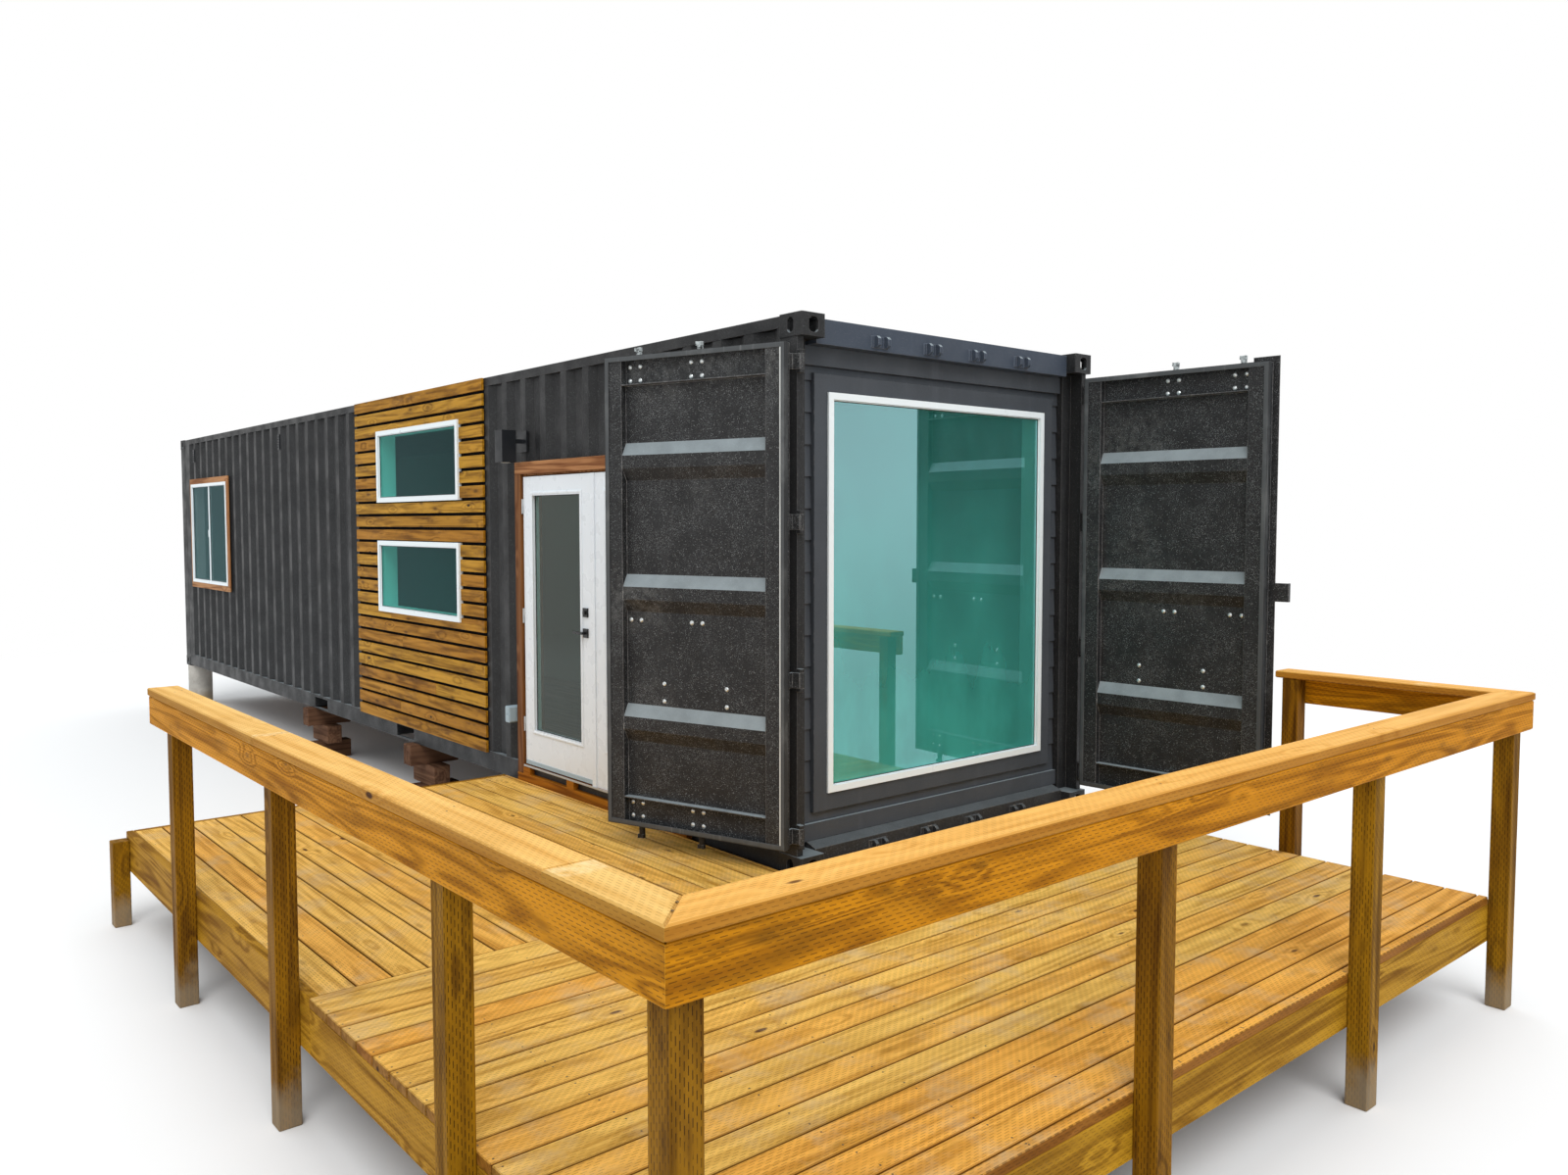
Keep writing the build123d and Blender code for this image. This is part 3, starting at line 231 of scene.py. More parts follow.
def painted_steel(name, colour, dust_and_sheen=0.8, speckle=0.35, cloud=0.0, worn_and_glint=(0.13, 0.125, 0.12),
                  bright_above=None, embossed=False, edge_highlight_lift=0.06):
    """Sprayed dark paint: fine pale specks, rain streaks, dust with a painted sky sheen on ledges, edges worn thin
    under a painted highlight.
    """
    s = Shader(name, rough=STEEL_ROUGH, specular=0.3)
    at = s.coords()
    base = s.mix(s.noise(at, 1.3, 4.0), shade(colour, 0.75), shade(colour, 1.3))
    streaks = s.noise(s.stretch(at, (9.0, 9.0, 0.6)), 1.0, 5.0, 0.6)
    base = s.mix(s.fit(streaks, 0.52, 0.8, 0.0, 0.3), base, shade(colour, 1.7, 0.015))
    if cloud:
        patch = s.fit(s.noise(at, 1.15, 3.0), 0.5, 0.72)
        haze = s.times(patch, s.fit(s.noise(at, 26.0, 4.0), 0.35, 0.7), cloud)
        base = s.mix(haze, base, PALE_HAZE)
    coarse = s.fit(s.cells(at, 125.0), 0.30, 0.18)
    coarse = s.times(coarse, s.fit(s.noise(at, 57.0, 1.0), 0.48, 0.58))
    fine = s.fit(s.cells(at, 205.0), 0.40, 0.22)
    fine = s.times(fine, s.fit(s.noise(at, 6.0, 5.0, 0.7), 0.30, 0.70))
    specks = s.math("MAXIMUM", coarse, s.times(fine, 0.75))
    base = s.mix(s.times(specks, speckle), base, PALE_SPECK)
    # Edges: a painted highlight, a lighter tint of the paint (on the embossed siding a painted lap shadow
    # instead), then chips of the worn colour, which on the cargo leaf is pale enough to paint glints on its edges
    # as well.
    normal, mask = s.rounded(STEEL_EDGE)
    base = s.mix(s.times(mask, 0.7), base, LAP_SHADOW if embossed else shade(colour, 2.4, edge_highlight_lift))
    chips_and_glints = s.times(mask, s.fit(s.noise(at, 34.0, 5.0, 0.7), 0.5, 0.66))
    base = s.mix(chips_and_glints, base, worn_and_glint)
    # Dust and a painted sky sheen: pale bluish colour on surfaces that look up, such as ledges and the upper
    # slopes of the leaf ridges.
    film = s.times(s.facing_up(), s.fit(s.noise(at, 7.0, 4.0), 0.2, 0.75, 0.7, 1.0), dust_and_sheen)
    base = s.mix(film, base, PALE_DUST_AND_SKY_SHEEN)
    if bright_above is not None:
        tip = s.fit(s.axis(at, 2), bright_above, bright_above + 0.004)
        base = s.mix(s.times(tip, s.fit(s.noise(at, 60.0, 3.0), 0.3, 0.55)), base, BARE_STEEL)
    gloss = s.fit(s.noise(at, 5.0, 4.0), 0.3, 0.7, STEEL_ROUGH - 0.08, STEEL_ROUGH + 0.16)
    gloss = s.math("MAXIMUM", gloss, s.times(film, 0.85))
    normal = s.relief(s.noise(at, 420.0, 2.0), 0.0006, 0.35, normal)
    if embossed:
        texture = s.noise(s.stretch(at, (30.0, 4.0, 90.0)), 1.0, 5.0, 0.65, 0.8)
        normal = s.relief(texture, 0.0015, 0.6, normal)
    else:
        normal = s.relief(s.noise(at, 2.6, 2.0), 0.012, 0.5, normal)
    return s.finish(base, gloss, normal)


def timber(name, light, dark, knot, rough=0.6, rings=5.0, ring_share=0.45, knots=0.5,
           incised=0.0, feet=False, streak=0.35, film=0.0, mottle=0.3, along=None, joints=(),
           edge=0.002, edge_light=0.5, edge_shade_tint=None, side=None):
    """Stained softwood whose grain follows the board's own direction, or one axis of the part.

    incised shows the preserver's cuts in rows, film is sand trodden in on top, joints are bleached
    bands across the cap as (place, shift, half width), and side darkens the faces that don't look
    up, a painted shade against the lit tops.
    """
    s = Shader(name, rough=rough, specular=0.1)
    world = s.coords()
    if along is None:
        at = s.coords("grain")
        tone = s.node("ShaderNodeAttribute", attribute_name="tone").outputs["Fac"]
    else:
        parts = s.node("ShaderNodeSeparateXYZ", world).outputs
        at = s.node("ShaderNodeCombineXYZ", *[parts[(along + i) % 3] for i in range(3)]).outputs[0]
        tone = s.noise(world, 0.9, 1.0)
    spots = s.cells(s.stretch(at, (2.3, 6.2, 6.2)), 1.0)
    swell = s.fit(spots, 0.0, 0.34, 1.0, 0.0)
    field = s.noise(s.stretch(at, (0.5, 9.0, 9.0)), 1.0, 2.0, 0.5, 0.6)
    field = s.math("ADD", field, s.times(swell, 0.3))
    ring = s.fit(s.math("PINGPONG", s.times(field, rings), 0.5), 0.05, 0.45)
    fine = s.noise(s.stretch(at, (6.0, 190.0, 190.0)), 1.0, 3.0, 0.6)
    broad = s.noise(s.stretch(at, (1.6, 34.0, 34.0)), 1.0, 4.0, 0.6)
    grain = s.math("ADD", s.times(ring, ring_share), s.times(fine, 0.30))
    grain = s.math("ADD", grain, s.times(s.fit(broad, 0.25, 0.75), streak))
    middle = [a * 0.66 + b * 0.34 for a, b in zip(light, dark)]
    base = s.ramp(grain, (0.12, light), (0.5, middle), (0.95, dark))
    toned = s.mix(1.0, base, shade(middle, 1.3), "MULTIPLY")
    base = s.mix(s.fit(tone, 0.0, 1.0, 0.0, 0.5), base, toned)
    patches = s.noise(s.stretch(at, (2.2, 11.0, 11.0)), 1.0, 5.0, 0.65)
    base = s.mix(s.fit(patches, 0.48, 0.72, 0.0, mottle), base, shade(dark, 0.9))
    stain = s.times(s.fit(s.cells(s.stretch(at, (3.1, 9.0, 9.0)), 1.0), 0.2, 0.02), mottle)
    base = s.mix(stain, base, shade(dark, 0.7))
    eye = s.times(s.fit(spots, 0.085, 0.045), s.fit(s.noise(at, 0.9, 1.0), 0.5 - knots * 0.3, 0.55))
    base = s.mix(eye, base, knot)
    height = s.math("SUBTRACT", s.times(grain, -0.5), s.times(eye, 0.5))
    if incised:
        across = s.times(s.math("ADD", s.axis(at, 1), s.axis(at, 2)), INCISED_ROWS)
        row = s.times(s.math("FLOOR", across), ROW_SHIFT)
        dash = s.math("FRACT", s.math("ADD", s.times(s.axis(at, 0), INCISED_DASHES), row))
        dash = s.math("ABSOLUTE", s.math("SUBTRACT", dash, 0.5))
        line = s.math("ABSOLUTE", s.math("SUBTRACT", s.math("FRACT", across), 0.5))
        cut = s.times(s.fit(dash, 0.33, 0.27), s.fit(line, 0.13, 0.07))
        cut = s.times(cut, s.fit(s.noise(at, 9.0, 2.0), 0.25, 0.48))
        base = s.mix(s.times(cut, incised), base, shade(dark, 0.35))
        height = s.math("SUBTRACT", height, s.times(cut, 1.4 * incised))
    grime = s.fit(s.noise(world, 1.7, 4.0), 0.52, 0.8, 0.0, 0.35)
    base = s.mix(grime, base, shade(dark, 0.9))
    if film:
        sand = s.fit(s.noise(world, 3.4, 6.0, 0.7), 0.46, 0.74, 0.0, film)
        base = s.mix(s.times(sand, s.facing_up(*TOP_FACES)), base, SAND_FILM)
    for place, shift, half in joints:
        offset = s.math("ABSOLUTE", s.math("SUBTRACT", s.axis(world, 0), place + shift))
        offset = s.math("ADD", offset, s.times(s.noise(world, 17.0, 4.0), 0.05))
        sanded = s.times(s.fit(offset, half + 0.04, half + 0.005), s.facing_up(*TOP_FACES))
        sanded = s.times(sanded, s.fit(s.noise(world, 12.0, 6.0, 0.7), 0.38, 0.66, 0.0, 0.6))
        base = s.mix(sanded, base, SANDED_WOOD)
    if feet:
        foot = s.math("ADD", s.axis(world, 2), s.times(s.noise(world, 9.0, 4.0), -0.3))
        base = s.mix(s.fit(foot, 0.10, -0.10, 0.0, 0.6), base, SPLASHED_FOOT)
    normal, mask = s.rounded(edge)
    # Eased edges turn a lighter tint of the wood, or the given edge tint, which on the deck is a painted shade
    # along the board edges.
    base = s.mix(s.times(mask, edge_light), base, edge_shade_tint or shade(light, 1.25, 0.04))
    # Faces that don't look up are darkened by the side colour, a painted shade against the lit tops.
    if side is not None:
        base = s.mix(s.facing_up(*TOP_FACES), s.mix(1.0, base, side, "MULTIPLY"), base)
    normal = s.relief(height, 0.0012, 0.6, normal)
    return s.finish(base, s.fit(grain, 0.0, 1.0, rough - 0.05, rough + 0.15), normal)


def smooth_paint(name, colour, rough=0.35, dirt=(0.36, 0.36, 0.34), amount=0.08, metal=0.0,
                 specular=0.4, satin_below=None):
    """White frames and other factory finishes, a little dirty in patches."""
    s = Shader(name, rough=rough, metal=metal, specular=specular)
    at = s.coords()
    patch = s.fit(s.noise(at, 3.1, 5.0, 0.65), 0.5, 0.85, 0.0, amount)
    base = s.mix(patch, colour, dirt)
    base = s.mix(s.fit(s.noise(at, 0.8, 2.0), 0.3, 0.7, 0.0, 0.12), base, shade(colour, 0.85))
    runs = s.noise(s.stretch(at, (40.0, 40.0, 1.5)), 1.0, 4.0, 0.6)
    base = s.mix(s.fit(runs, 0.56, 0.8, 0.0, amount), base, dirt)
    if satin_below is not None:
        base = s.mix(s.fit(s.axis(at, 0), satin_below + 0.002, satin_below), base, SATIN_METAL)
    normal, mask = s.rounded(PAINT_EDGE)
    base = s.mix(s.times(mask, s.fit(s.noise(at, 60.0, 3.0), 0.5, 0.75, 0.0, 0.4)), base, dirt)
    normal = s.relief(s.noise(at, 180.0, 2.0), 0.0004, 0.2, normal)
    gloss = s.fit(s.noise(at, 9.0, 3.0), 0.3, 0.7, max(0.05, rough - 0.08), rough + 0.12)
    return s.finish(base, gloss, normal)


def window_glass(name, tint, film, body, mirror, sheen, coated_from=None, grey_spans=()):
    """Glass: a tinted view inside, a thin film, and a cool reflection over both.

    Along the container, beyond coated_from the film is thicker and the reflection stronger,
    and within the grey_spans the tint is a plain grey. All of it works where a ray enters the
    pane, and nothing where it leaves, so the inner face doesn't mirror the room.
    """
    s = Shader(name)
    s.tree.nodes.remove(s.bsdf)
    at = s.coords()
    smear = s.noise(s.stretch(at, (2.0, 2.0, 1.0)), 1.4, 4.0)
    gloss = s.fed("ShaderNodeBsdfGlossy", Color=sheen, Roughness=s.fit(smear, 0.35, 0.8, 0.0, 0.03),
                  Normal=s.relief(s.noise(at, 0.9, 1.0), 0.004, 0.2))
    leaving = s.node("ShaderNodeNewGeometry").outputs["Backfacing"]
    entering = s.math("SUBTRACT", 1.0, leaving)
    stained = s.mix(s.fit(smear, 0.4, 0.8, 0.0, 0.2), tint, shade(tint, 0.85))
    for start, end, grey in grey_spans:
        within = s.fit(s.axis(at, 0), start, start + SPAN_FADE)
        within = s.times(within, s.fit(s.axis(at, 0), end, end - SPAN_FADE))
        stained = s.mix(within, stained, grey)
    clear = s.fed("ShaderNodeBsdfTransparent", Color=s.mix(entering, (1.0, 1.0, 1.0), stained))
    veil = s.mix(s.fit(smear, 0.35, 0.7), shade(film, 0.8), shade(film, 1.15))
    haze = s.fed("ShaderNodeBsdfDiffuse", Color=veil)
    facing = s.node("ShaderNodeFresnel", 1.5).outputs[0]
    if coated_from is None:
        amount = s.math("MINIMUM", s.math("ADD", facing, mirror), 1.0)
    else:
        coated = s.fit(s.axis(at, 0), coated_from, coated_from + 0.1)
        # Painted reflection: on the end pane the reflection colour darkens towards the bottom, and on the other
        # panes it is dimmed, for a darker surrounding than the white backdrop.
        reflection_darker_below = s.mix(s.fit(s.axis(at, 2), *REFLECTION_FADE), sheen, shade(sheen, 0.5))
        s.put(gloss.inputs["Color"], s.mix(coated, shade(sheen, 0.35), reflection_darker_below))
        amount = s.math("MINIMUM", s.math("ADD", facing, s.times(coated, mirror)), 1.0)
        # The tinted body grows towards the bottom of the pane, a painted brightening of its lower part.
        lower_pane_brightening = s.fit(s.axis(at, 2), *FILM_HEIGHTS, *LOWER_PANE_BRIGHTENING)
        body = s.times(s.fit(coated, 0.0, 1.0, body * 0.08, body), lower_pane_brightening)
    body, amount = s.times(entering, body), s.times(entering, amount)
    s.surface(s.blend(amount, s.blend(body, clear.outputs[0], haze.outputs[0]), gloss.outputs[0]))
    return s.material


def concrete(name):
    """Cast piers: pits, chalky edges and a splashed foot."""
    s = Shader(name, rough=0.85, specular=0.2)
    at = s.coords()
    base = s.ramp(s.noise(at, 6.0, 6.0, 0.6), (0.25, CONCRETE_DARK), (0.75, CONCRETE_LIGHT))
    pits = s.fit(s.cells(at, 60.0), 0.14, 0.05)
    base = s.mix(s.times(pits, 0.6), base, (0.16, 0.15, 0.14))
    foot = s.fit(s.math("ADD", s.axis(at, 2), s.times(s.noise(at, 7.0, 4.0), -0.2)), 0.12, -0.05)
    base = s.mix(foot, base, (0.33, 0.27, 0.19))
    normal, mask = s.rounded(CONCRETE_EDGE)
    base = s.mix(s.times(mask, 0.4), base, (0.62, 0.60, 0.56))
    normal = s.relief(s.math("SUBTRACT", s.noise(at, 40.0, 5.0), pits), 0.003, 0.6, normal)
    return s.finish(base, 0.85, normal)


def floor_planks(name):
    """Laid plank floor inside: planks along the room, with joints."""
    s = Shader(name, rough=0.35)
    at = s.coords()
    n = s.fed("ShaderNodeTexBrick", Vector=at, **PLANK_PATTERN)
    grain = s.noise(s.stretch(at, (1.5, 60.0, 1.0)), 1.0, 5.0)
    base = s.mix(s.fit(grain, 0.3, 0.75, 0.0, 0.6), n.outputs["Color"], (0.10, 0.045, 0.02))
    gloss = s.fit(grain, 0.2, 0.8, 0.25, 0.45)
    return s.finish(base, gloss, s.relief(n.outputs["Fac"], 0.001, 0.3))


CAP_JOINTS = ((4.625, 0.0, 0.026), (6.863, 0.045, 0.045))
BRIGHT_ROD_ENDS = 3.238
SATIN_HINGE_SIDE = 1.94
SOOT = (0.10, 0.10, 0.10)
DUST = (0.20, 0.21, 0.21)
TEAL_TINT = (0.36, 0.82, 0.73)
GREY_TINT = (0.56, 0.68, 0.64)
END_GLASS_FROM = 4.3
SLIDER_GREY = (-8.0, -4.5, (0.34, 0.38, 0.37))
ENTRY_GREY = (1.5, 4.2, GREY_TINT)

painted_steel("container_paint", (0.0125, 0.013, 0.014), dust_and_sheen=0.6, speckle=0.3)
painted_steel("roof_paint", (0.020, 0.021, 0.023), dust_and_sheen=0.22, speckle=0.3)
# The header's bluish tint is a painted reflection of the sky on its face; the paint itself is the same near-black.
painted_steel("header_paint_sky_reflection", (0.042, 0.055, 0.078), dust_and_sheen=0.85, speckle=0.2)
# The cargo leaf's pale edge colours are painted highlights as well as wear.
painted_steel("leaf_paint", (0.0110, 0.0115, 0.0125), dust_and_sheen=0.85, speckle=0.95, cloud=0.3,
              worn_and_glint=(0.36, 0.36, 0.35), edge_highlight_lift=0.16)
painted_steel("lock_rod_paint", (0.014, 0.0145, 0.016), speckle=0.3, worn_and_glint=(0.40, 0.38, 0.36),
              bright_above=BRIGHT_ROD_ENDS)
painted_steel("sill_paint", (0.020, 0.020, 0.021), dust_and_sheen=0.22, speckle=0.5, worn_and_glint=(0.30, 0.24, 0.18))
painted_steel("siding_paint", (0.050, 0.057, 0.067), dust_and_sheen=0.8, speckle=0.1, embossed=True)
timber("frame_timber", (0.34, 0.16, 0.055), (0.14, 0.050, 0.014), (0.05, 0.018, 0.007), along=2)
timber("blocking_timber", (0.46, 0.185, 0.010), (0.17, 0.055, 0.004), (0.05, 0.018, 0.004), along=0)
# The deck's side colour and its dark edge tint are painted shade, on the sides of the boards and along their
# edges.
DECK = timber("deck_timber", (0.92, 0.565, 0.135), (0.37, 0.165, 0.012), (0.08, 0.025, 0.006),
              ring_share=0.3, streak=0.34, film=0.5, knots=1.0, incised=0.6, mottle=0.55,
              edge=0.003, edge_light=0.9, edge_shade_tint=(0.10, 0.035, 0.004), side=(0.35, 0.28, 0.20))
RIM = timber("rim_timber", (0.50, 0.262, 0.016), (0.18, 0.074, 0.003), (0.07, 0.020, 0.002),
             streak=0.4, incised=0.6, knots=0.8, mottle=0.5, edge_light=0.4)
RAIL = timber("rail_timber", (0.71, 0.352, 0.004), (0.20, 0.076, 0.001), (0.07, 0.020, 0.002),
              rings=8.0, ring_share=0.4, streak=0.3, incised=0.7, knots=1.0, mottle=0.65)
POST = timber("post_timber", (0.35, 0.168, 0.003), (0.075, 0.027, 0.001), (0.03, 0.010, 0.001),
              ring_share=0.35, incised=0.95, feet=True, knots=0.8, mottle=0.6, edge_light=0.25)
# The cap's side colour is painted shade on its upright faces.
CAP_WOOD = timber("cap_timber", (0.92, 0.610, 0.215), (0.57, 0.282, 0.045), (0.10, 0.034, 0.008),
                  ring_share=0.25, incised=0.45, knots=0.35, mottle=0.2, joints=CAP_JOINTS,
                  edge_light=0.6, side=(0.50, 0.40, 0.18))
CLADDING = timber("cedar_cladding", (0.58, 0.300, 0.022), (0.100, 0.036, 0.003),
                  (0.020, 0.007, 0.002), rough=0.5, rings=6.0, ring_share=0.28, streak=0.4,
                  knots=1.0, mottle=0.8, edge_light=0.3)
BROWN_TRIM = timber("brown_trim", (0.32, 0.15, 0.050), (0.11, 0.038, 0.010), (0.05, 0.018, 0.007),
                    rough=0.5)
HEAD_TRIM = timber("head_trim", (0.56, 0.31, 0.140), (0.19, 0.075, 0.030), (0.03, 0.010, 0.005),
                   knots=1.0)
CRIB = timber("crib_timber", (0.19, 0.098, 0.055), (0.072, 0.034, 0.020), (0.03, 0.012, 0.008),
              rough=0.8, mottle=0.5)
smooth_paint("inner_lining", (0.40, 0.40, 0.37), rough=0.6)
smooth_paint("black_hardware", (0.013, 0.015, 0.018), rough=0.4, dirt=SOOT, specular=0.3)
smooth_paint("door_hardware", (0.012, 0.012, 0.013), dirt=SOOT, specular=0.3,
             satin_below=SATIN_HINGE_SIDE)
WHITE = smooth_paint("white_vinyl", (0.81, 0.87, 0.89), amount=0.05)
WHITE_DOOR = smooth_paint("white_door", (0.75, 0.80, 0.845), rough=0.3, amount=0.03)
SATIN = smooth_paint("satin_hinge", SATIN_METAL, rough=0.4, metal=0.5)
RUBBER = smooth_paint("seal_rubber", (0.022, 0.024, 0.026), rough=0.6, dirt=DUST, amount=0.6)
LIP = smooth_paint("seal_lip", (0.62, 0.64, 0.63), rough=0.6, dirt=(0.16, 0.17, 0.16), amount=0.8)
# Near-black membrane, dark enough to paint the shade in the cladding joints too.
MEMBRANE_AND_JOINT_SHADE = smooth_paint("wall_membrane_joint_shade", (0.004, 0.004, 0.005), rough=0.9,
                        dirt=(0.012, 0.011, 0.010), specular=0.05)
SEAL_EDGE = smooth_paint("seal_edge", (0.060, 0.066, 0.070), rough=0.55, dirt=DUST, amount=0.6)
GREY = smooth_paint("grey_plastic", (0.34, 0.44, 0.50), rough=0.45)
ZINC = smooth_paint("zinc_bolt", (0.66, 0.70, 0.70), rough=0.28, metal=0.75)
LAMP_LENS = smooth_paint("lamp_lens", (0.62, 0.62, 0.56), rough=0.25)
SCREW = smooth_paint("deck_screw", (0.10, 0.075, 0.04), rough=0.45, metal=0.4)
window_glass("window_glass", TEAL_TINT, film=(0.10, 0.70, 0.60), body=0.24, mirror=0.32,
             sheen=(0.56, 0.92, 1.0), coated_from=END_GLASS_FROM,
             grey_spans=(SLIDER_GREY, ENTRY_GREY))
window_glass("door_glass", GREY_TINT, film=(0.12, 0.16, 0.14), body=0.05, mirror=0.03,
             sheen=(0.56, 0.60, 0.56))
concrete("concrete")
floor_planks("plywood_floor")

# A node takes the finish of its slot's name, but for these
SPECIAL = {
    "roof_sheet": "roof_paint", "door_header": "header_paint_sky_reflection", "door_frame": "frame_timber",
    "sill_blocking": "blocking_timber", "entry_door_glass": "door_glass",
    "entry_door_hardware": "door_hardware", "door_hinge_plates": "satin_hinge",
    "left_lock_rods": "lock_rod_paint", "right_lock_rods": "lock_rod_paint",
}
SLOT = {part["node"]: part["material_slot"] for part in frame["record"]["subparts"]}

for node_name, piece in NODES.items():
    piece.data.materials.clear()
    piece.data.materials.append(FINISH[SPECIAL.get(node_name, SLOT[node_name])])


# Geometry helpers

def islands(name):
    """Boxes around the separate solids of a node, as (low, high) corners in metres."""
    piece = NODES[name]
    keys, parent, points, index = {}, [], [], []

    def find(i):
        while parent[i] != i:
            parent[i] = parent[parent[i]]
            i = parent[i]
        return i

    for vertex in piece.data.vertices:
        key = tuple(round(c, 4) for c in vertex.co)
        if key not in keys:
            keys[key] = len(parent)
            parent.append(len(parent))
            points.append(vertex.co)
        index.append(keys[key])
    for polygon in piece.data.polygons:
        first = index[polygon.vertices[0]]
        for v in polygon.vertices[1:]:
            parent[find(index[v])] = find(first)
    groups = {}
    for i, p in enumerate(points):
        groups.setdefault(find(i), []).append(p)
    boxes = []
    for group in groups.values():
        low = tuple(min(p[a] for p in group) for a in range(3))
        high = tuple(max(p[a] for p in group) for a in range(3))
        boxes.append((low, high))
    return sorted(boxes)


DOME_RINGS = ((1.0, 0.0), (0.94, 0.45), (0.6, 0.86))
GRAIN_SHIFTS = (50, 9, 9)
BEVEL_SHARE = 0.3


def ring_faces(start, count):
    """Quads between two rings of points that follow each other."""
    faces = []
    for i in range(start, start + count):
        j = start + (i + 1 - start) % count
        faces.append([i, j, j + count, i + count])
    return faces


class Pile:
    """Many small pieces in one mesh, each vertex with its grain place and tone."""

    def __init__(self, place=None):
        self.points, self.faces, self.grain, self.tones = [], [], [], []
        self.place = place

    def add(self, points, faces, axis=0, tone=None):
        start = len(self.points)
        shift = [RNG.uniform(0, most) for most in GRAIN_SHIFTS]
        tone = RNG.random() if tone is None else tone
        order = (axis, (axis + 1) % 3, (axis + 2) % 3)
        turned = self.place is not None and self.place.determinant() < 0
        for p in points:
            self.points.append(tuple(self.place @ Vector(p)) if self.place else tuple(p))
            self.grain.append([p[o] + d for o, d in zip(order, shift)])
            self.tones.append(tone)
        self.faces += [[start + i for i in (f[::-1] if turned else f)] for f in faces]

    def board(self, low, high, axis=None, bevel=0.003, tone=None):
        """Box with eased edges; the grain runs along the longest side unless an axis is given."""
        if axis is None:
            axis = max(range(3), key=lambda a: high[a] - low[a])
        self.add(*eased_box(low, high, bevel), axis, tone)

    def slab(self, outline, low, high, axis, bevel):
        """Convex outline in plan between two heights, with eased top and bottom edges."""
        self.add(*eased_slab(outline, low, high, bevel), axis)

    def dome(self, centre, normal, radius, height, sides=8):
        """Rounded head of a bolt, nail or screw, open at its foot."""
        n = Vector(normal).normalized()
        u = n.orthogonal().normalized()
        v = n.cross(u)
        c = Vector(centre)
        points = []
        for share, rise in DOME_RINGS:
            for i in range(sides):
                a = 2 * math.pi * i / sides
                spoke = u * math.cos(a) + v * math.sin(a)
                points.append(c + spoke * radius * share + n * height * rise)
        points.append(c + n * height)
        faces = ring_faces(0, sides) + ring_faces(sides, sides)
        for i in range(sides):
            faces.append([2 * sides + i, 2 * sides + (i + 1) % sides, 3 * sides])
        self.add(points, faces)

    def moulding(self, axis, side, face, rect, profile):
        """Mitred ring round a rectangle; the profile is (distance outwards, rise off the face)."""
        across = 1 if axis == 0 else 0
        (u0, u1), (v0, v1) = rect
        points, faces = [], []
        for out, rise in profile:
            a0, a1, b0, b1 = u0 - out, u1 + out, v0 - out, v1 + out
            for u, v in ((a0, b0), (a1, b0), (a1, b1), (a0, b1)):
                p = [0.0, 0.0, v]
                p[axis], p[across] = face + side * rise, u
                points.append(p)
        count = len(profile)
        flip = (axis == 0) == (side > 0)
        for i in range(count):
            j = (i + 1) % count
            for k in range(4):
                m = (k + 1) % 4
                loop = [4 * i + k, 4 * i + m, 4 * j + m, 4 * j + k]
                faces.append(loop if flip else loop[::-1])
        self.add(points, faces)

    def make(self, name, material, slot, body="container", replaces=()):
        """One mesh of all that was added, on a body and perhaps instead of CAD nodes."""
        mesh = bpy.data.meshes.new(name)
        mesh.from_pydata(self.points, [], self.faces)
        grain = mesh.attributes.new("grain", "FLOAT_VECTOR", "POINT")
        grain.data.foreach_set("vector", [c for g in self.grain for c in g])
        tone = mesh.attributes.new("tone", "FLOAT", "POINT")
        tone.data.foreach_set("value", self.tones)
        mesh.materials.append(material)
        shell = bmesh.new()
        shell.from_mesh(mesh)
        bmesh.ops.recalc_face_normals(shell, faces=shell.faces)
        shell.to_mesh(mesh)
        shell.free()
        piece = bpy.data.objects.new(name, mesh)
        bpy.context.scene.collection.objects.link(piece)
        if replaces:
            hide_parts(*replaces)
        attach(piece, body)
        return piece


def corner_at(axis, *sides):
    """Corner of a box by its sides, 0 or 1, counted from an axis on."""
    corner = [0, 0, 0]
    for i, side in enumerate(sides):
        corner[(axis + i) % 3] = side
    return tuple(corner)


def eased_box(low, high, bevel):
    """Points and faces of a box whose edges and corners are cut back by the bevel."""
    b = min(bevel, *[(end - start) * BEVEL_SHARE for start, end in zip(low, high)])
    points, index = [], {}
    corners = [(x, y, z) for x in (0, 1) for y in (0, 1) for z in (0, 1)]
    for corner in corners:
        for face in range(3):
            p = []
            for a in range(3):
                edge = (low, high)[corner[a]][a]
                p.append(edge if a == face else edge + (-b if corner[a] else b))
            index[(corner, face)] = len(points)
            points.append(p)
    faces = []
    for face in range(3):
        for side in (0, 1):
            around = [corner_at(face, side, i, j) for i, j in ((0, 0), (1, 0), (1, 1), (0, 1))]
            loop = [index[(corner, face)] for corner in around]
            faces.append(loop if side else loop[::-1])
    for axis in range(3):
        a, c = (axis + 1) % 3, (axis + 2) % 3
        for i in (0, 1):
            for j in (0, 1):
                start, end = corner_at(axis, 0, i, j), corner_at(axis, 1, i, j)
                loop = [index[key] for key in ((start, a), (end, a), (end, c), (start, c))]
                faces.append(loop if i == j else loop[::-1])
    for corner in corners:
        loop = [index[(corner, f)] for f in range(3)]
        faces.append(loop if sum(corner) % 2 else loop[::-1])
    return points, faces


def inset(outline, amount):
    """Convex counter-clockwise outline moved inwards."""
    lines = []
    for i, corner in enumerate(outline):
        p, q = Vector(corner), Vector(outline[(i + 1) % len(outline)])
        d = (q - p).normalized()
        lines.append((p + Vector((-d.y, d.x)) * amount, d))
    result = []
    for i in range(len(outline)):
        (p, d), (q, e) = lines[i - 1], lines[i]
        t = ((q - p).x * e.y - (q - p).y * e.x) / (d.x * e.y - d.y * e.x)
        result.append(tuple(p + d * t))
    return result


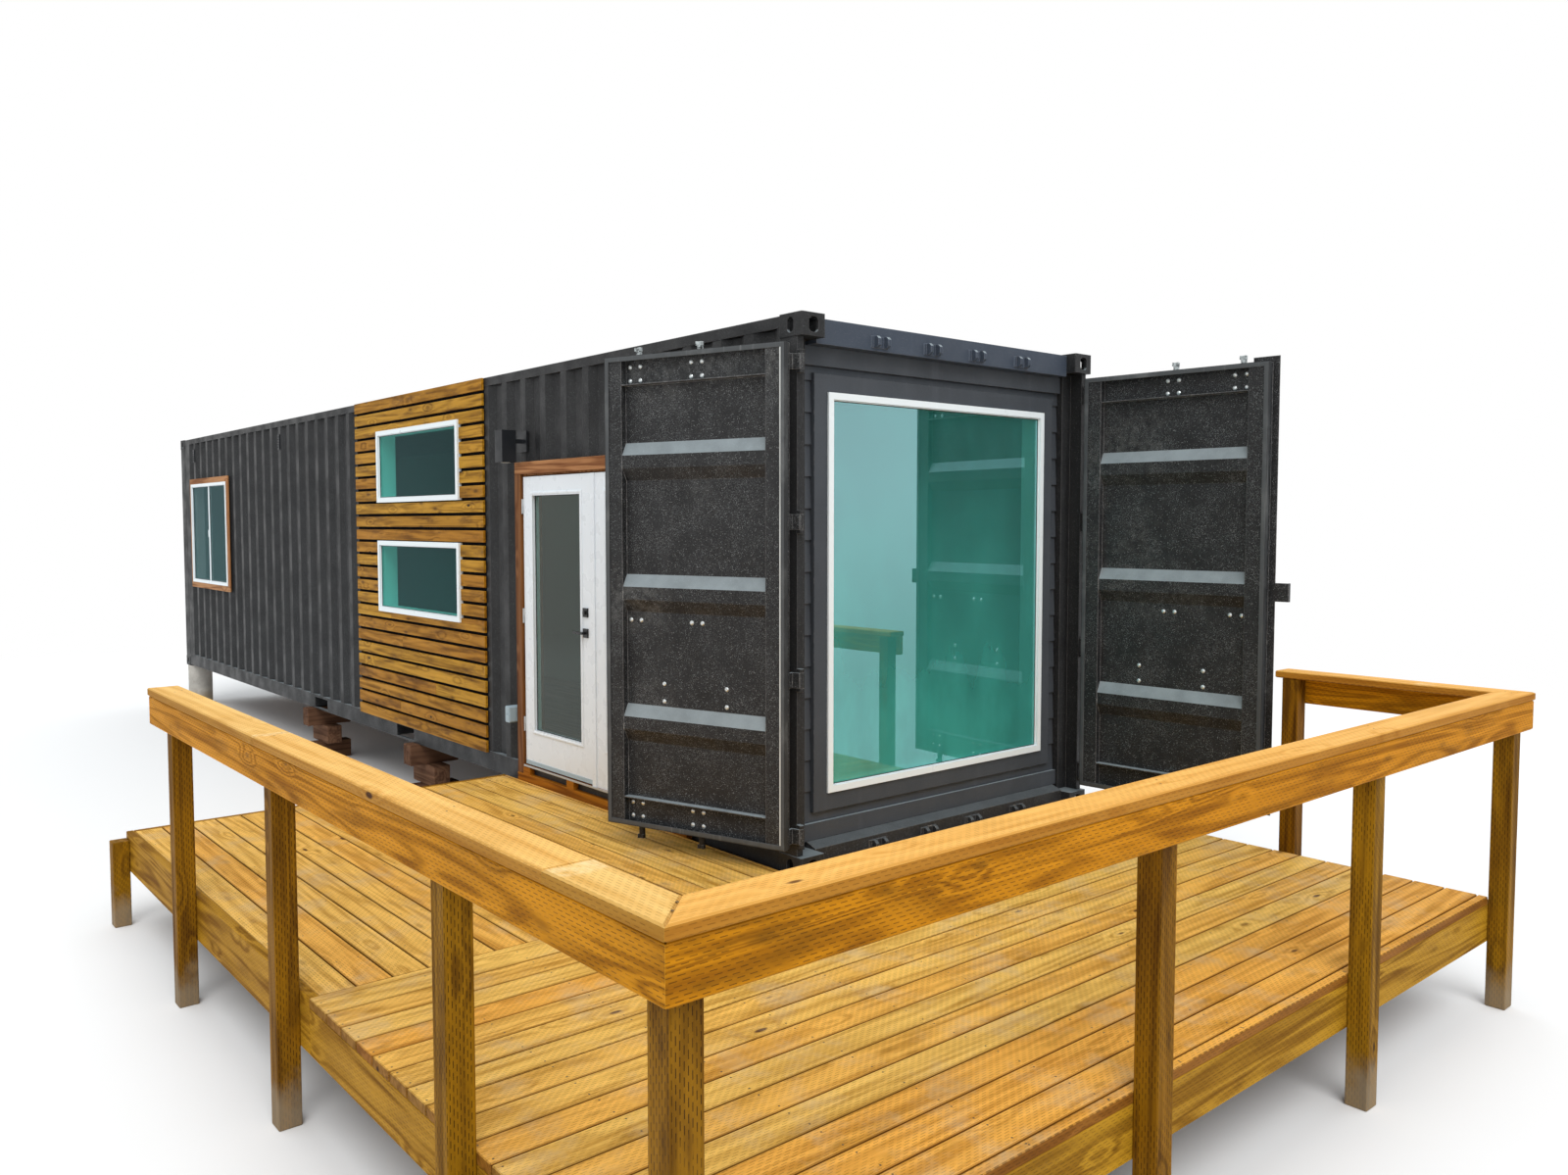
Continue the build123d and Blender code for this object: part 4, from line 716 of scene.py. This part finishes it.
def eased_slab(outline, low, high, bevel):
    """Points and faces of an upright prism with eased top and bottom edges."""
    n = len(outline)
    sides = [(outline[i - 1], outline[i]) for i in range(n)]
    area = sum(p[0] * q[1] - q[0] * p[1] for p, q in sides)
    if area < 0:
        outline = outline[::-1]
    inner = inset(outline, bevel)
    rings = [(inner, low), (outline, low + bevel), (outline, high - bevel), (inner, high)]
    points = [(x, y, z) for ring, z in rings for x, y in ring]
    faces = [list(range(n))[::-1], [3 * n + i for i in range(n)]]
    for ring in range(3):
        faces += ring_faces(ring * n, n)
    return points, faces


def moved(low, high, by):
    """A box's two corners, each moved by its own offset."""
    return [[c + d for c, d in zip(corner, shift)] for corner, shift in zip((low, high), by)]


def timbers(name, node, material, slot, **options):
    """Each solid of a node as a board of its own."""
    pile = Pile()
    for low, high in islands(node):
        pile.board(low, high, **options)
    return pile.make(name, material, slot, replaces=(node,))


# Deck: boards, rim, joists, posts and rails, with two screws at each crossing

BOARD = 0.140
BOARD_GAP = 0.007
NARROWEST_BOARD = 0.02
WIDEST_CARRIER = 0.06
BREAKER_TONE = 0.1
UP = (0, 0, 1)
SCREW_HEAD = (0.0042, 0.0011, 6)
HEAD_SINK = 0.0004
SCREW_EDGE = 0.024
SCREW_ALONG, SCREW_ACROSS = 0.004, 0.003


def rip(low, high):
    """Full boards and a ripped last one between two edges."""
    strips, at = [], low
    while at < high - NARROWEST_BOARD:
        strips.append((at, min(at + BOARD, high)))
        at += BOARD + BOARD_GAP
    return strips


boards, screws = Pile(), Pile()
side_box, breaker_box, front_box = islands("deck_boards")
carriers = islands("deck_joists") + islands("deck_rim")
deck_top = side_box[1][2]


def screw_lines(run, box):
    """Middles of the joists and rims that cross boards laid along an axis."""
    other = 1 - run
    places = set()
    for low, high in carriers:
        thin = high[run] - low[run] < WIDEST_CARRIER
        within = low[other] < box[1][other] and high[other] > box[0][other]
        middle = (low[run] + high[run]) / 2
        if thin and within and box[0][run] < middle < box[1][run]:
            places.add(round(middle, 3))
    return sorted(places)


for run, box in ((0, side_box), (1, front_box)):
    lines = screw_lines(run, box)
    for low, high in rip(box[0][1 - run], box[1][1 - run]):
        start, end = list(box[0]), list(box[1])
        start[1 - run], end[1 - run] = low, high
        boards.board(start, end, run)
        for place in lines:
            for edge in (low + SCREW_EDGE, high - SCREW_EDGE):
                centre = [0.0, 0.0, deck_top - HEAD_SINK]
                centre[run] = place + RNG.uniform(-SCREW_ALONG, SCREW_ALONG)
                centre[1 - run] = edge + RNG.uniform(-SCREW_ACROSS, SCREW_ACROSS)
                screws.dome(centre, UP, *SCREW_HEAD)
boards.board(*breaker_box, 1, tone=BREAKER_TONE)
boards.make("deck_board_run", DECK, "deck_timber", replaces=("deck_boards",))

timbers("deck_rim_timbers", "deck_rim", RIM, "deck_timber")
timbers("deck_joist_timbers", "deck_joists", POST, "deck_timber")
timbers("deck_post_timbers", "deck_posts", POST, "deck_timber", axis=2, bevel=0.004)

# Rail beams and cap boards: mitred corners, the side cap in three lengths

BUTT = 0.0006
EASE = 0.005
CAP_REACH = 0.02


def mitred_run(name, node, material, joints=()):
    """Boards round three sides of the deck, from a node's solids; its top is returned."""
    run = Pile()
    side, back, front = sorted(islands(node), key=lambda box: box[1][0] - box[0][0], reverse=True)
    (x0, outer_y, low), (_, inner_y, high) = side
    (inner_x, _, _), (outer_x, _, _) = front
    (back_x, back_inner, _), (_, back_outer, _) = back
    lengths = []
    for place, _, _ in joints:
        x1 = place - BUTT
        lengths.append((0, [(x0, outer_y), (x1, outer_y), (x1, inner_y), (x0, inner_y)]))
        x0 = place + BUTT
    front_corner, back_corner = (outer_x, outer_y), (outer_x, back_outer)
    front_mitre, back_mitre = (inner_x, inner_y), (inner_x, back_inner)
    lengths.append((0, [(x0, outer_y), front_corner, front_mitre, (x0, inner_y)]))
    lengths.append((1, [front_corner, back_corner, back_mitre, front_mitre]))
    lengths.append((0, [back_corner, (back_x, back_outer), (back_x, back_inner), back_mitre]))
    for axis, outline in lengths:
        run.slab(outline, low, high, axis, EASE)
    run.make(name, material, "deck_timber", replaces=(node,))
    return high


mitred_run("rail_beam_timbers", "rail_beams", RAIL)
cap_top = mitred_run("rail_cap_boards", "rail_caps", CAP_WOOD, CAP_JOINTS)
for low, high in islands("deck_posts"):
    if high[2] > deck_top:
        x, y = (low[0] + high[0]) / 2, (low[1] + high[1]) / 2
        for reach in (-CAP_REACH, CAP_REACH):
            screws.dome((x + reach, y - reach, cap_top - HEAD_SINK), UP, *SCREW_HEAD)
screws.make("deck_screws", SCREW, "deck_timber")

# Slatted cladding: boards with open joints, cut round the two windows, nailed to the studs

SLATS = 25
SLAT_GAP = 0.024
SLAT_BUTT = 0.001
SLAT_EASE = 0.002
THINNEST_SLAT = 0.006
JOINTED_SHARE = 0.45
JOINT_FROM_END = 0.5
WINDOW_CLEARANCE = 0.002
OUTWARD = (0, -1, 0)
NAIL_HEAD = (0.0035, 0.001, 6)
NAIL_COLUMNS = 6
NAIL_FROM_END = 0.03
NAIL_FROM_JOINT = 0.01
BACKING = 0.002
BACKING_EASE = 0.0003
BACKING_INSET = 0.004
slats, nails, backing = Pile(), Pile(), Pile()
slider_box, *frames = islands("side_window_frames")
(clad_x0, clad_face, clad_low), (clad_x1, clad_back, clad_top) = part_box("slat_cladding")
pitch = (clad_top - clad_low + SLAT_GAP) / SLATS
frame_levels = [z for frame_low, frame_high in frames for z in (frame_low[2], frame_high[2])]
for i in range(SLATS):
    z0 = clad_low + i * pitch
    z1 = z0 + pitch - SLAT_GAP
    cuts = sorted({z0, z1} | {z for z in frame_levels if z0 < z < z1})
    for a, b in zip(cuts, cuts[1:]):
        if b - a < THINNEST_SLAT:
            continue
        middle = (a + b) / 2
        blocked = [f for f in frames if f[0][2] < middle < f[1][2]]
        runs = [(clad_x0, clad_x1)]
        if blocked:
            window_low, window_high = blocked[0]
            runs = [(clad_x0, window_low[0] - WINDOW_CLEARANCE),
                    (window_high[0] + WINDOW_CLEARANCE, clad_x1)]
        elif RNG.random() < JOINTED_SHARE:
            split = RNG.uniform(clad_x0 + JOINT_FROM_END, clad_x1 - JOINT_FROM_END)
            runs = [(clad_x0, split - SLAT_BUTT), (split + SLAT_BUTT, clad_x1)]
        for x0, x1 in runs:
            slats.board((x0, clad_face, a), (x1, clad_back - BACKING, b), 0, SLAT_EASE)
        for column in range(NAIL_COLUMNS):
            step = (clad_x1 - clad_x0 - 2 * NAIL_FROM_END) * column / (NAIL_COLUMNS - 1)
            x = clad_x0 + NAIL_FROM_END + step
            if any(x0 + NAIL_FROM_JOINT < x < x1 - NAIL_FROM_JOINT for x0, x1 in runs):
                nails.dome((x, clad_face + HEAD_SINK, middle), OUTWARD, *NAIL_HEAD)
# Near-black membrane behind the slats, darker than any paint, so the open joints show it as painted shade as well
# as the membrane.
left, right = clad_x0 + BACKING_INSET, clad_x1 - BACKING_INSET
levels = [clad_low + BACKING_INSET, *sorted(frame_levels), clad_top - BACKING_INSET]
beside_windows = [(left, frames[0][0][0]), (frames[0][1][0], right)]
for i, (z0, z1) in enumerate(zip(levels, levels[1:])):
    for x0, x1 in beside_windows if i % 2 else [(left, right)]:
        backing.board((x0, clad_back - BACKING, z0), (x1, clad_back, z1), 0, BACKING_EASE)
backing.make("cladding_membrane_joint_shade", MEMBRANE_AND_JOINT_SHADE, "seal_rubber")
slats.make("cladding_boards", CLADDING, "cedar_cladding", replaces=("slat_cladding",))
nails.make("cladding_nails", SCREW, "cedar_cladding")

# Boards round the entry doors and the sliding window

TRIM_WIDTH = 0.083
TRIM_BOARD = 0.025
(trim_x0, trim_face, trim_low), (trim_x1, trim_back, trim_top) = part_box("door_trim")
(way_x0, _, way_low), (way_x1, _, way_top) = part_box("door_frame")
inner_top, board_back = trim_top - TRIM_WIDTH, trim_face + TRIM_BOARD
sides, head = Pile(), Pile()
for x0, x1, back0, back1 in (
    (trim_x0, trim_x0 + TRIM_WIDTH, trim_x0, way_x0),
    (trim_x1 - TRIM_WIDTH, trim_x1, way_x1, trim_x1),
):
    sides.board((x0, trim_face, trim_low), (x1, board_back, inner_top), 2)
    sides.board((back0, board_back, way_low), (back1, trim_back, inner_top), 2)
head.board((trim_x0, trim_face, inner_top), (trim_x1, board_back, trim_top), 0)
head.board((trim_x0, board_back, way_top), (trim_x1, trim_back, trim_top), 0)
sides.make("door_side_boards", BROWN_TRIM, "brown_trim", replaces=("door_trim",))
head.make("door_head_board", HEAD_TRIM, "brown_trim", replaces=("door_trim",))

SLIDER_TRIM = 0.066
(win_x0, win_face, win_low), (win_x1, win_back, win_top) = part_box("slider_window_trim")
low_z, high_z = win_low + SLIDER_TRIM, win_top - SLIDER_TRIM
surround = Pile()
for x0, x1, z0, z1, run in (
    (win_x0, win_x1, high_z, win_top, 0),
    (win_x0, win_x1, win_low, low_z, 0),
    (win_x0, win_x0 + SLIDER_TRIM, low_z, high_z, 2),
    (win_x1 - SLIDER_TRIM, win_x1, low_z, high_z, 2),
):
    surround.board((x0, win_face, z0), (x1, win_back, z1), run, SLAT_EASE)
surround.make("slider_trim_boards", HEAD_TRIM, "brown_trim", replaces=("slider_window_trim",))

# Cribbing: crossed timbers, three layers to a stack

CRIB_TIMBER = 0.140
CRIB_LAYERS = 3
stacks = Pile()
for low, high in islands("cribbing"):
    layer = (high[2] - low[2]) / CRIB_LAYERS
    for i in range(CRIB_LAYERS):
        start = [low[0], low[1], low[2] + layer * i]
        end = [high[0], high[1], start[2] + layer]
        thin = i % 2
        middle = (low[thin] + high[thin]) / 2
        start[thin], end[thin] = middle - CRIB_TIMBER / 2, middle + CRIB_TIMBER / 2
        stacks.board(start, end, 1 - thin, EASE)
stacks.make("crib_timbers", CRIB, "crib_timber", replaces=("cribbing",))

# Glazing beads and weather strips on the white frames, the slider's in two spans, with its latch

BEAD_REACH = 0.005
BEAD = ((0.0, 0.0), (0.0, 0.004), (-0.0015, 0.006), (-0.004, 0.006), (-BEAD_REACH, 0.003),
        (-BEAD_REACH, 0.0))
GASKET = ((0.0, 0.0), (0.0, 0.003), (-0.004, 0.002), (-0.004, 0.0))
END_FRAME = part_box("end_window_frame")
FRAME_FACE = 0.036
SASH_FACE = 0.034
SLAT_FACE = 0.038
SASH_SETBACK = 0.012
GLASS_BACK = 0.020
LATCH = (
    ((-0.010, -0.009, -0.045), (0.010, 0.001, 0.045)),
    ((-0.006, -0.011, -0.012), (0.006, -0.008, 0.030)),
)
beads, gaskets = Pile(), Pile()


def glazing(axis, side, front, rect):
    """White bead and dark gasket where the glass meets its frame."""
    glass = front - side * GLASS_BACK
    beads.moulding(axis, side, glass, rect, BEAD)
    inner = [(low + BEAD_REACH, high - BEAD_REACH) for low, high in rect]
    gaskets.moulding(axis, side, glass, inner, GASKET)


def inside(low, high, across, face):
    """Rectangle within a frame whose members are as wide as its face."""
    return (low[across] + face, high[across] - face), (low[2] + face, high[2] - face)


glazing(0, 1, END_FRAME[1][0], inside(*END_FRAME, 1, FRAME_FACE))
for low, high in frames:
    glazing(1, -1, low[1], inside(low, high, 0, SLAT_FACE))
low, high = slider_box
(far, near), heights = inside(low, high, 0, SASH_FACE)
middle = (low[0] + high[0]) / 2
for span in ((far, middle - SASH_FACE / 2), (middle + SASH_FACE / 2, near)):
    glazing(1, -1, low[1], (span, heights))
latch = (middle, low[1] + SASH_SETBACK, (low[2] + high[2]) / 2)
for reach in LATCH:
    beads.board(*moved(latch, latch, reach), 2)
beads.make("window_beads", WHITE, "white_vinyl")
gaskets.make("window_gaskets", RUBBER, "seal_rubber")

# Raised moulding round the glass of both entry doors, a sweep and a nosing below

PANEL_PROFILE = ((0.026, -0.001), (0.026, 0.003), (0.022, 0.007), (0.012, 0.0075),
                 (0.007, 0.0045), (0.0, 0.0045), (0.0, -0.001))
PANE_STRIP = ((0.0, -0.001), (0.0, 0.004), (-0.005, 0.003), (-0.005, -0.001))
THIN_EASE = 0.001
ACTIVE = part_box("entry_door_leaf")
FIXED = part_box("fixed_door_leaf")
(_, leaf_face, leaf_low), (leaf_x1, leaf_back, _) = ACTIVE
(pane_x0, _, pane_low), (pane_x1, _, pane_top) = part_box("entry_door_glass")
panes = [box for box in islands("window_glass") if FIXED[0][0] < box[0][0] < FIXED[1][0]]
fixed_pane = (panes[0][0][0], panes[0][1][0])
for body, pane, tag in (
    ("entry_door", (pane_x0, pane_x1), "entry"),
    ("container", fixed_pane, "fixed"),
):
    rect = (pane, (pane_low, pane_top))
    trim = Pile()
    trim.moulding(1, -1, leaf_face, rect, PANEL_PROFILE)
    trim.moulding(1, 1, leaf_back, rect, PANEL_PROFILE)
    trim.make(tag + "_door_moulding", WHITE_DOOR, "white_door", body)
    strip = Pile()
    strip.moulding(1, -1, leaf_face + GLASS_BACK, rect, PANE_STRIP)
    strip.make(tag + "_door_gasket", RUBBER, "seal_rubber", body)

SWEEP = ((0.004, -0.003, 0.001), (-0.004, 0.001, 0.030))
foot = Pile()
foot.board(*moved(ACTIVE[0], (leaf_x1, leaf_face, leaf_low), SWEEP), 0, THIN_EASE)
foot.make("door_sweep", GREY, "grey_plastic", "entry_door")

NOSING = ((0.028, 0.001, -0.011), (-0.028, 0.007, 0.002))
threshold = Pile()
(_, face, _), (_, _, top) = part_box("sill_blocking")
threshold.board(*moved((way_x0, face, top), (way_x1, face, top), NOSING), 0, THIN_EASE)
threshold.make("door_threshold_nosing", SATIN, "grey_plastic")

# Wall lamp lenses and outlet cover

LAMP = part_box("wall_lamp")
LAMP_BODY = 0.105
LENS = (0.034, 0.003, 20)
LENS_SINK = 0.0005
lens_x = (LAMP[0][0] + LAMP[1][0]) / 2
lens_y = LAMP[0][1] + LAMP_BODY / 2
lenses = Pile()
for z, out in ((LAMP[0][2], -1), (LAMP[1][2], 1)):
    lenses.dome((lens_x, lens_y, z - out * LENS_SINK), (0, 0, out), *LENS)
lenses.make("lamp_lenses", LAMP_LENS, "black_hardware")
LOWER_FLAP = ((0.010, -0.004, 0.010), (-0.010, 0.001, -0.003))
UPPER_FLAP = ((0.010, -0.004, 0.003), (-0.010, 0.001, -0.010))
FLAP_EASE = 0.0015
FLAP_SCREW = (0.003, 0.002, 6)
cover = Pile()
(outlet_x0, outlet_face, outlet_low), (outlet_x1, _, outlet_top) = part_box("outlet_box")
mid = (outlet_low + outlet_top) / 2
for z0, z1, flap in ((outlet_low, mid, LOWER_FLAP), (mid, outlet_top, UPPER_FLAP)):
    corners = (outlet_x0, outlet_face, z0), (outlet_x1, outlet_face, z1)
    cover.board(*moved(*corners, flap), 0, FLAP_EASE)
cover.dome(((outlet_x0 + outlet_x1) / 2, outlet_face, mid), OUTWARD, *FLAP_SCREW)
cover.make("outlet_flaps", GREY, "grey_plastic")

# Cargo doors: zinc bolts through to the lock rods and the lip of the seal, with a pale strip on the left one

RODS = (0.607, 1.017)
BOLT_PITCH = 0.035
PAIR_SHIFT = 0.190
WEB = -0.056
SHEET = -0.060
LIP_FACE = -0.103
LIP_RING = ((0.065, 1.168), (0.697, 3.210))
LIP_PROFILE = ((0.027, -0.0005), (0.020, 0.001), (0.008, 0.0015), (0.001, 0.0015), (0.0, -0.0005))
RAIL_ROWS = (0.715, 0.790, 3.107, 3.182)
MIDDLE_ROW = 1.805
PAIR_ROWS = (1.370, 1.465)
BOLT_HEAD = (0.0135, 0.008)
PALE_STRIP = ((-0.006, -0.002, 0.0), (0.001, -0.0005, 0.0))
PALE_STRIP_EASE = 0.0005


def leaf_place(joint):
    """Matrix from a leaf's own axes (along it, outwards, up) to the part, in the rest pose."""
    sign = joint["axis"][2]
    turn = math.radians(-joint["range_deg"][0] * sign)
    along = -sign
    run = Vector((-math.sin(turn) * along, math.cos(turn) * along, 0.0))
    out = Vector((math.cos(turn), math.sin(turn), 0.0))
    matrix = Matrix((run, out, Vector((0, 0, 1)))).transposed().to_4x4()
    matrix.translation = Vector((joint["pos_m"][0], joint["pos_m"][1], 0.0))
    return matrix


for side in ("left", "right"):
    place = leaf_place(JOINTS[side + "_cargo_hinge"])
    bolts, lip = Pile(place), Pile(place)
    for rod in RODS:
        beside = (rod - BOLT_PITCH, rod + BOLT_PITCH)
        heads = [(s, WEB, z) for z in RAIL_ROWS for s in beside]
        heads += [(s, SHEET, MIDDLE_ROW) for s in beside]
        heads += [(rod - PAIR_SHIFT, SHEET, z) for z in PAIR_ROWS]
        for centre in heads:
            bolts.dome(centre, OUTWARD, *BOLT_HEAD)
    bolts.make(side + "_leaf_bolts", ZINC, "black_hardware", side + "_leaf")
    lip.moulding(1, -1, LIP_FACE, LIP_RING, LIP_PROFILE)
    lip.make(side + "_seal_lip", SEAL_EDGE, "seal_rubber", side + "_leaf")
    # A pale strip along the hinge side of the left leaf's seal lip.
    if side == "left":
        pale_strip = Pile(place)
        (s0, _), (z0, z1) = LIP_RING
        corners = (s0, LIP_FACE, z0), (s0, LIP_FACE, z1)
        pale_strip.board(*moved(*corners, PALE_STRIP), 2, PALE_STRIP_EASE)
        pale_strip.make("left_seal_pale_edge", LIP, "seal_rubber", "left_leaf")


# Stage, light and camera

STAGE_RADIUS = 90.0
WHITE_FROM, WHITE_BY = 9.5, 15.0
FLOOR_GREY = (0.86, 0.86, 0.86)
SKY_LOW, SKY_HIGH = 0.48, 1.25
SKY_COLOUR = (0.95, 0.98, 1.0)
WHITE_BACKDROP = (1.0, 1.0, 1.0)
SUN_STRENGTH = 1.5
SUN_WIDTH = math.radians(40.0)
SUN_RAYS = (-0.72, 0.42, -0.95)
SENSOR_WIDTH = 36.0
LENS_LENGTH = 26.877
VIEW_END = 400.0
VIEW_PLACE = (9.2759, -3.8549, 2.3352)
VIEW_TURN = (math.radians(90.0 - 3.145), 0.0, math.radians(49.698))


def stage():
    """Pale floor that keeps the shadow near the object and turns white further off."""
    mesh = bpy.data.meshes.new("floor")
    r = STAGE_RADIUS
    mesh.from_pydata([(-r, -r, 0), (r, -r, 0), (r, r, 0), (-r, r, 0)], [], [[0, 1, 2, 3]])
    floor = bpy.data.objects.new("floor", mesh)
    s = Shader("floor", rough=0.9, specular=0.0)
    s.put(s.bsdf.inputs["Base Color"], FLOOR_GREY)
    at = s.coords()
    far = s.node("ShaderNodeVectorMath", at, operation="LENGTH").outputs["Value"]
    share = s.times(s.fit(far, WHITE_FROM, WHITE_BY), s.backdrop_rays())
    glow = s.node("ShaderNodeEmission", WHITE_BACKDROP, 1.0)
    s.surface(s.blend(share, s.bsdf.outputs[0], glow.outputs[0]))
    mesh.materials.append(s.material)
    bpy.context.scene.collection.objects.link(floor)


def lights():
    """Overcast sky, brighter overhead, and one broad soft sun from the entry side."""
    world = bpy.data.worlds.new("sky")
    bpy.context.scene.world = world
    world.use_nodes = True
    n = Nodes(world.node_tree)
    height = n.axis(n.node("ShaderNodeTexCoord").outputs["Generated"], 2)
    level = n.node("ShaderNodeMapRange", height, 0.0, 1.0, SKY_LOW, SKY_HIGH).outputs[0]
    sky = n.tree.nodes["Background"]
    n.put(sky.inputs[0], SKY_COLOUR)
    n.put(sky.inputs[1], level)
    backdrop = n.node("ShaderNodeBackground", WHITE_BACKDROP)
    both = n.blend(n.backdrop_rays(), sky.outputs[0], backdrop.outputs[0])
    n.put(n.tree.nodes["World Output"].inputs[0], both)
    light = bpy.data.lights.new("key", "SUN")
    light.energy = SUN_STRENGTH
    light.angle = SUN_WIDTH
    lamp = bpy.data.objects.new("key", light)
    lamp.rotation_euler = Vector(SUN_RAYS).to_track_quat("-Z", "Y").to_euler()
    bpy.context.scene.collection.objects.link(lamp)


def camera():
    """The photo's camera, from the perspective of the container's edges."""
    data = bpy.data.cameras.new("camera")
    data.sensor_width = SENSOR_WIDTH
    data.lens = LENS_LENGTH
    data.clip_end = VIEW_END
    view = bpy.data.objects.new("camera", data)
    view.location = VIEW_PLACE
    view.rotation_euler = VIEW_TURN
    bpy.context.scene.collection.objects.link(view)
    bpy.context.scene.camera = view


stage()
lights()
camera()
bpy.context.scene.view_settings.view_transform = "Standard"
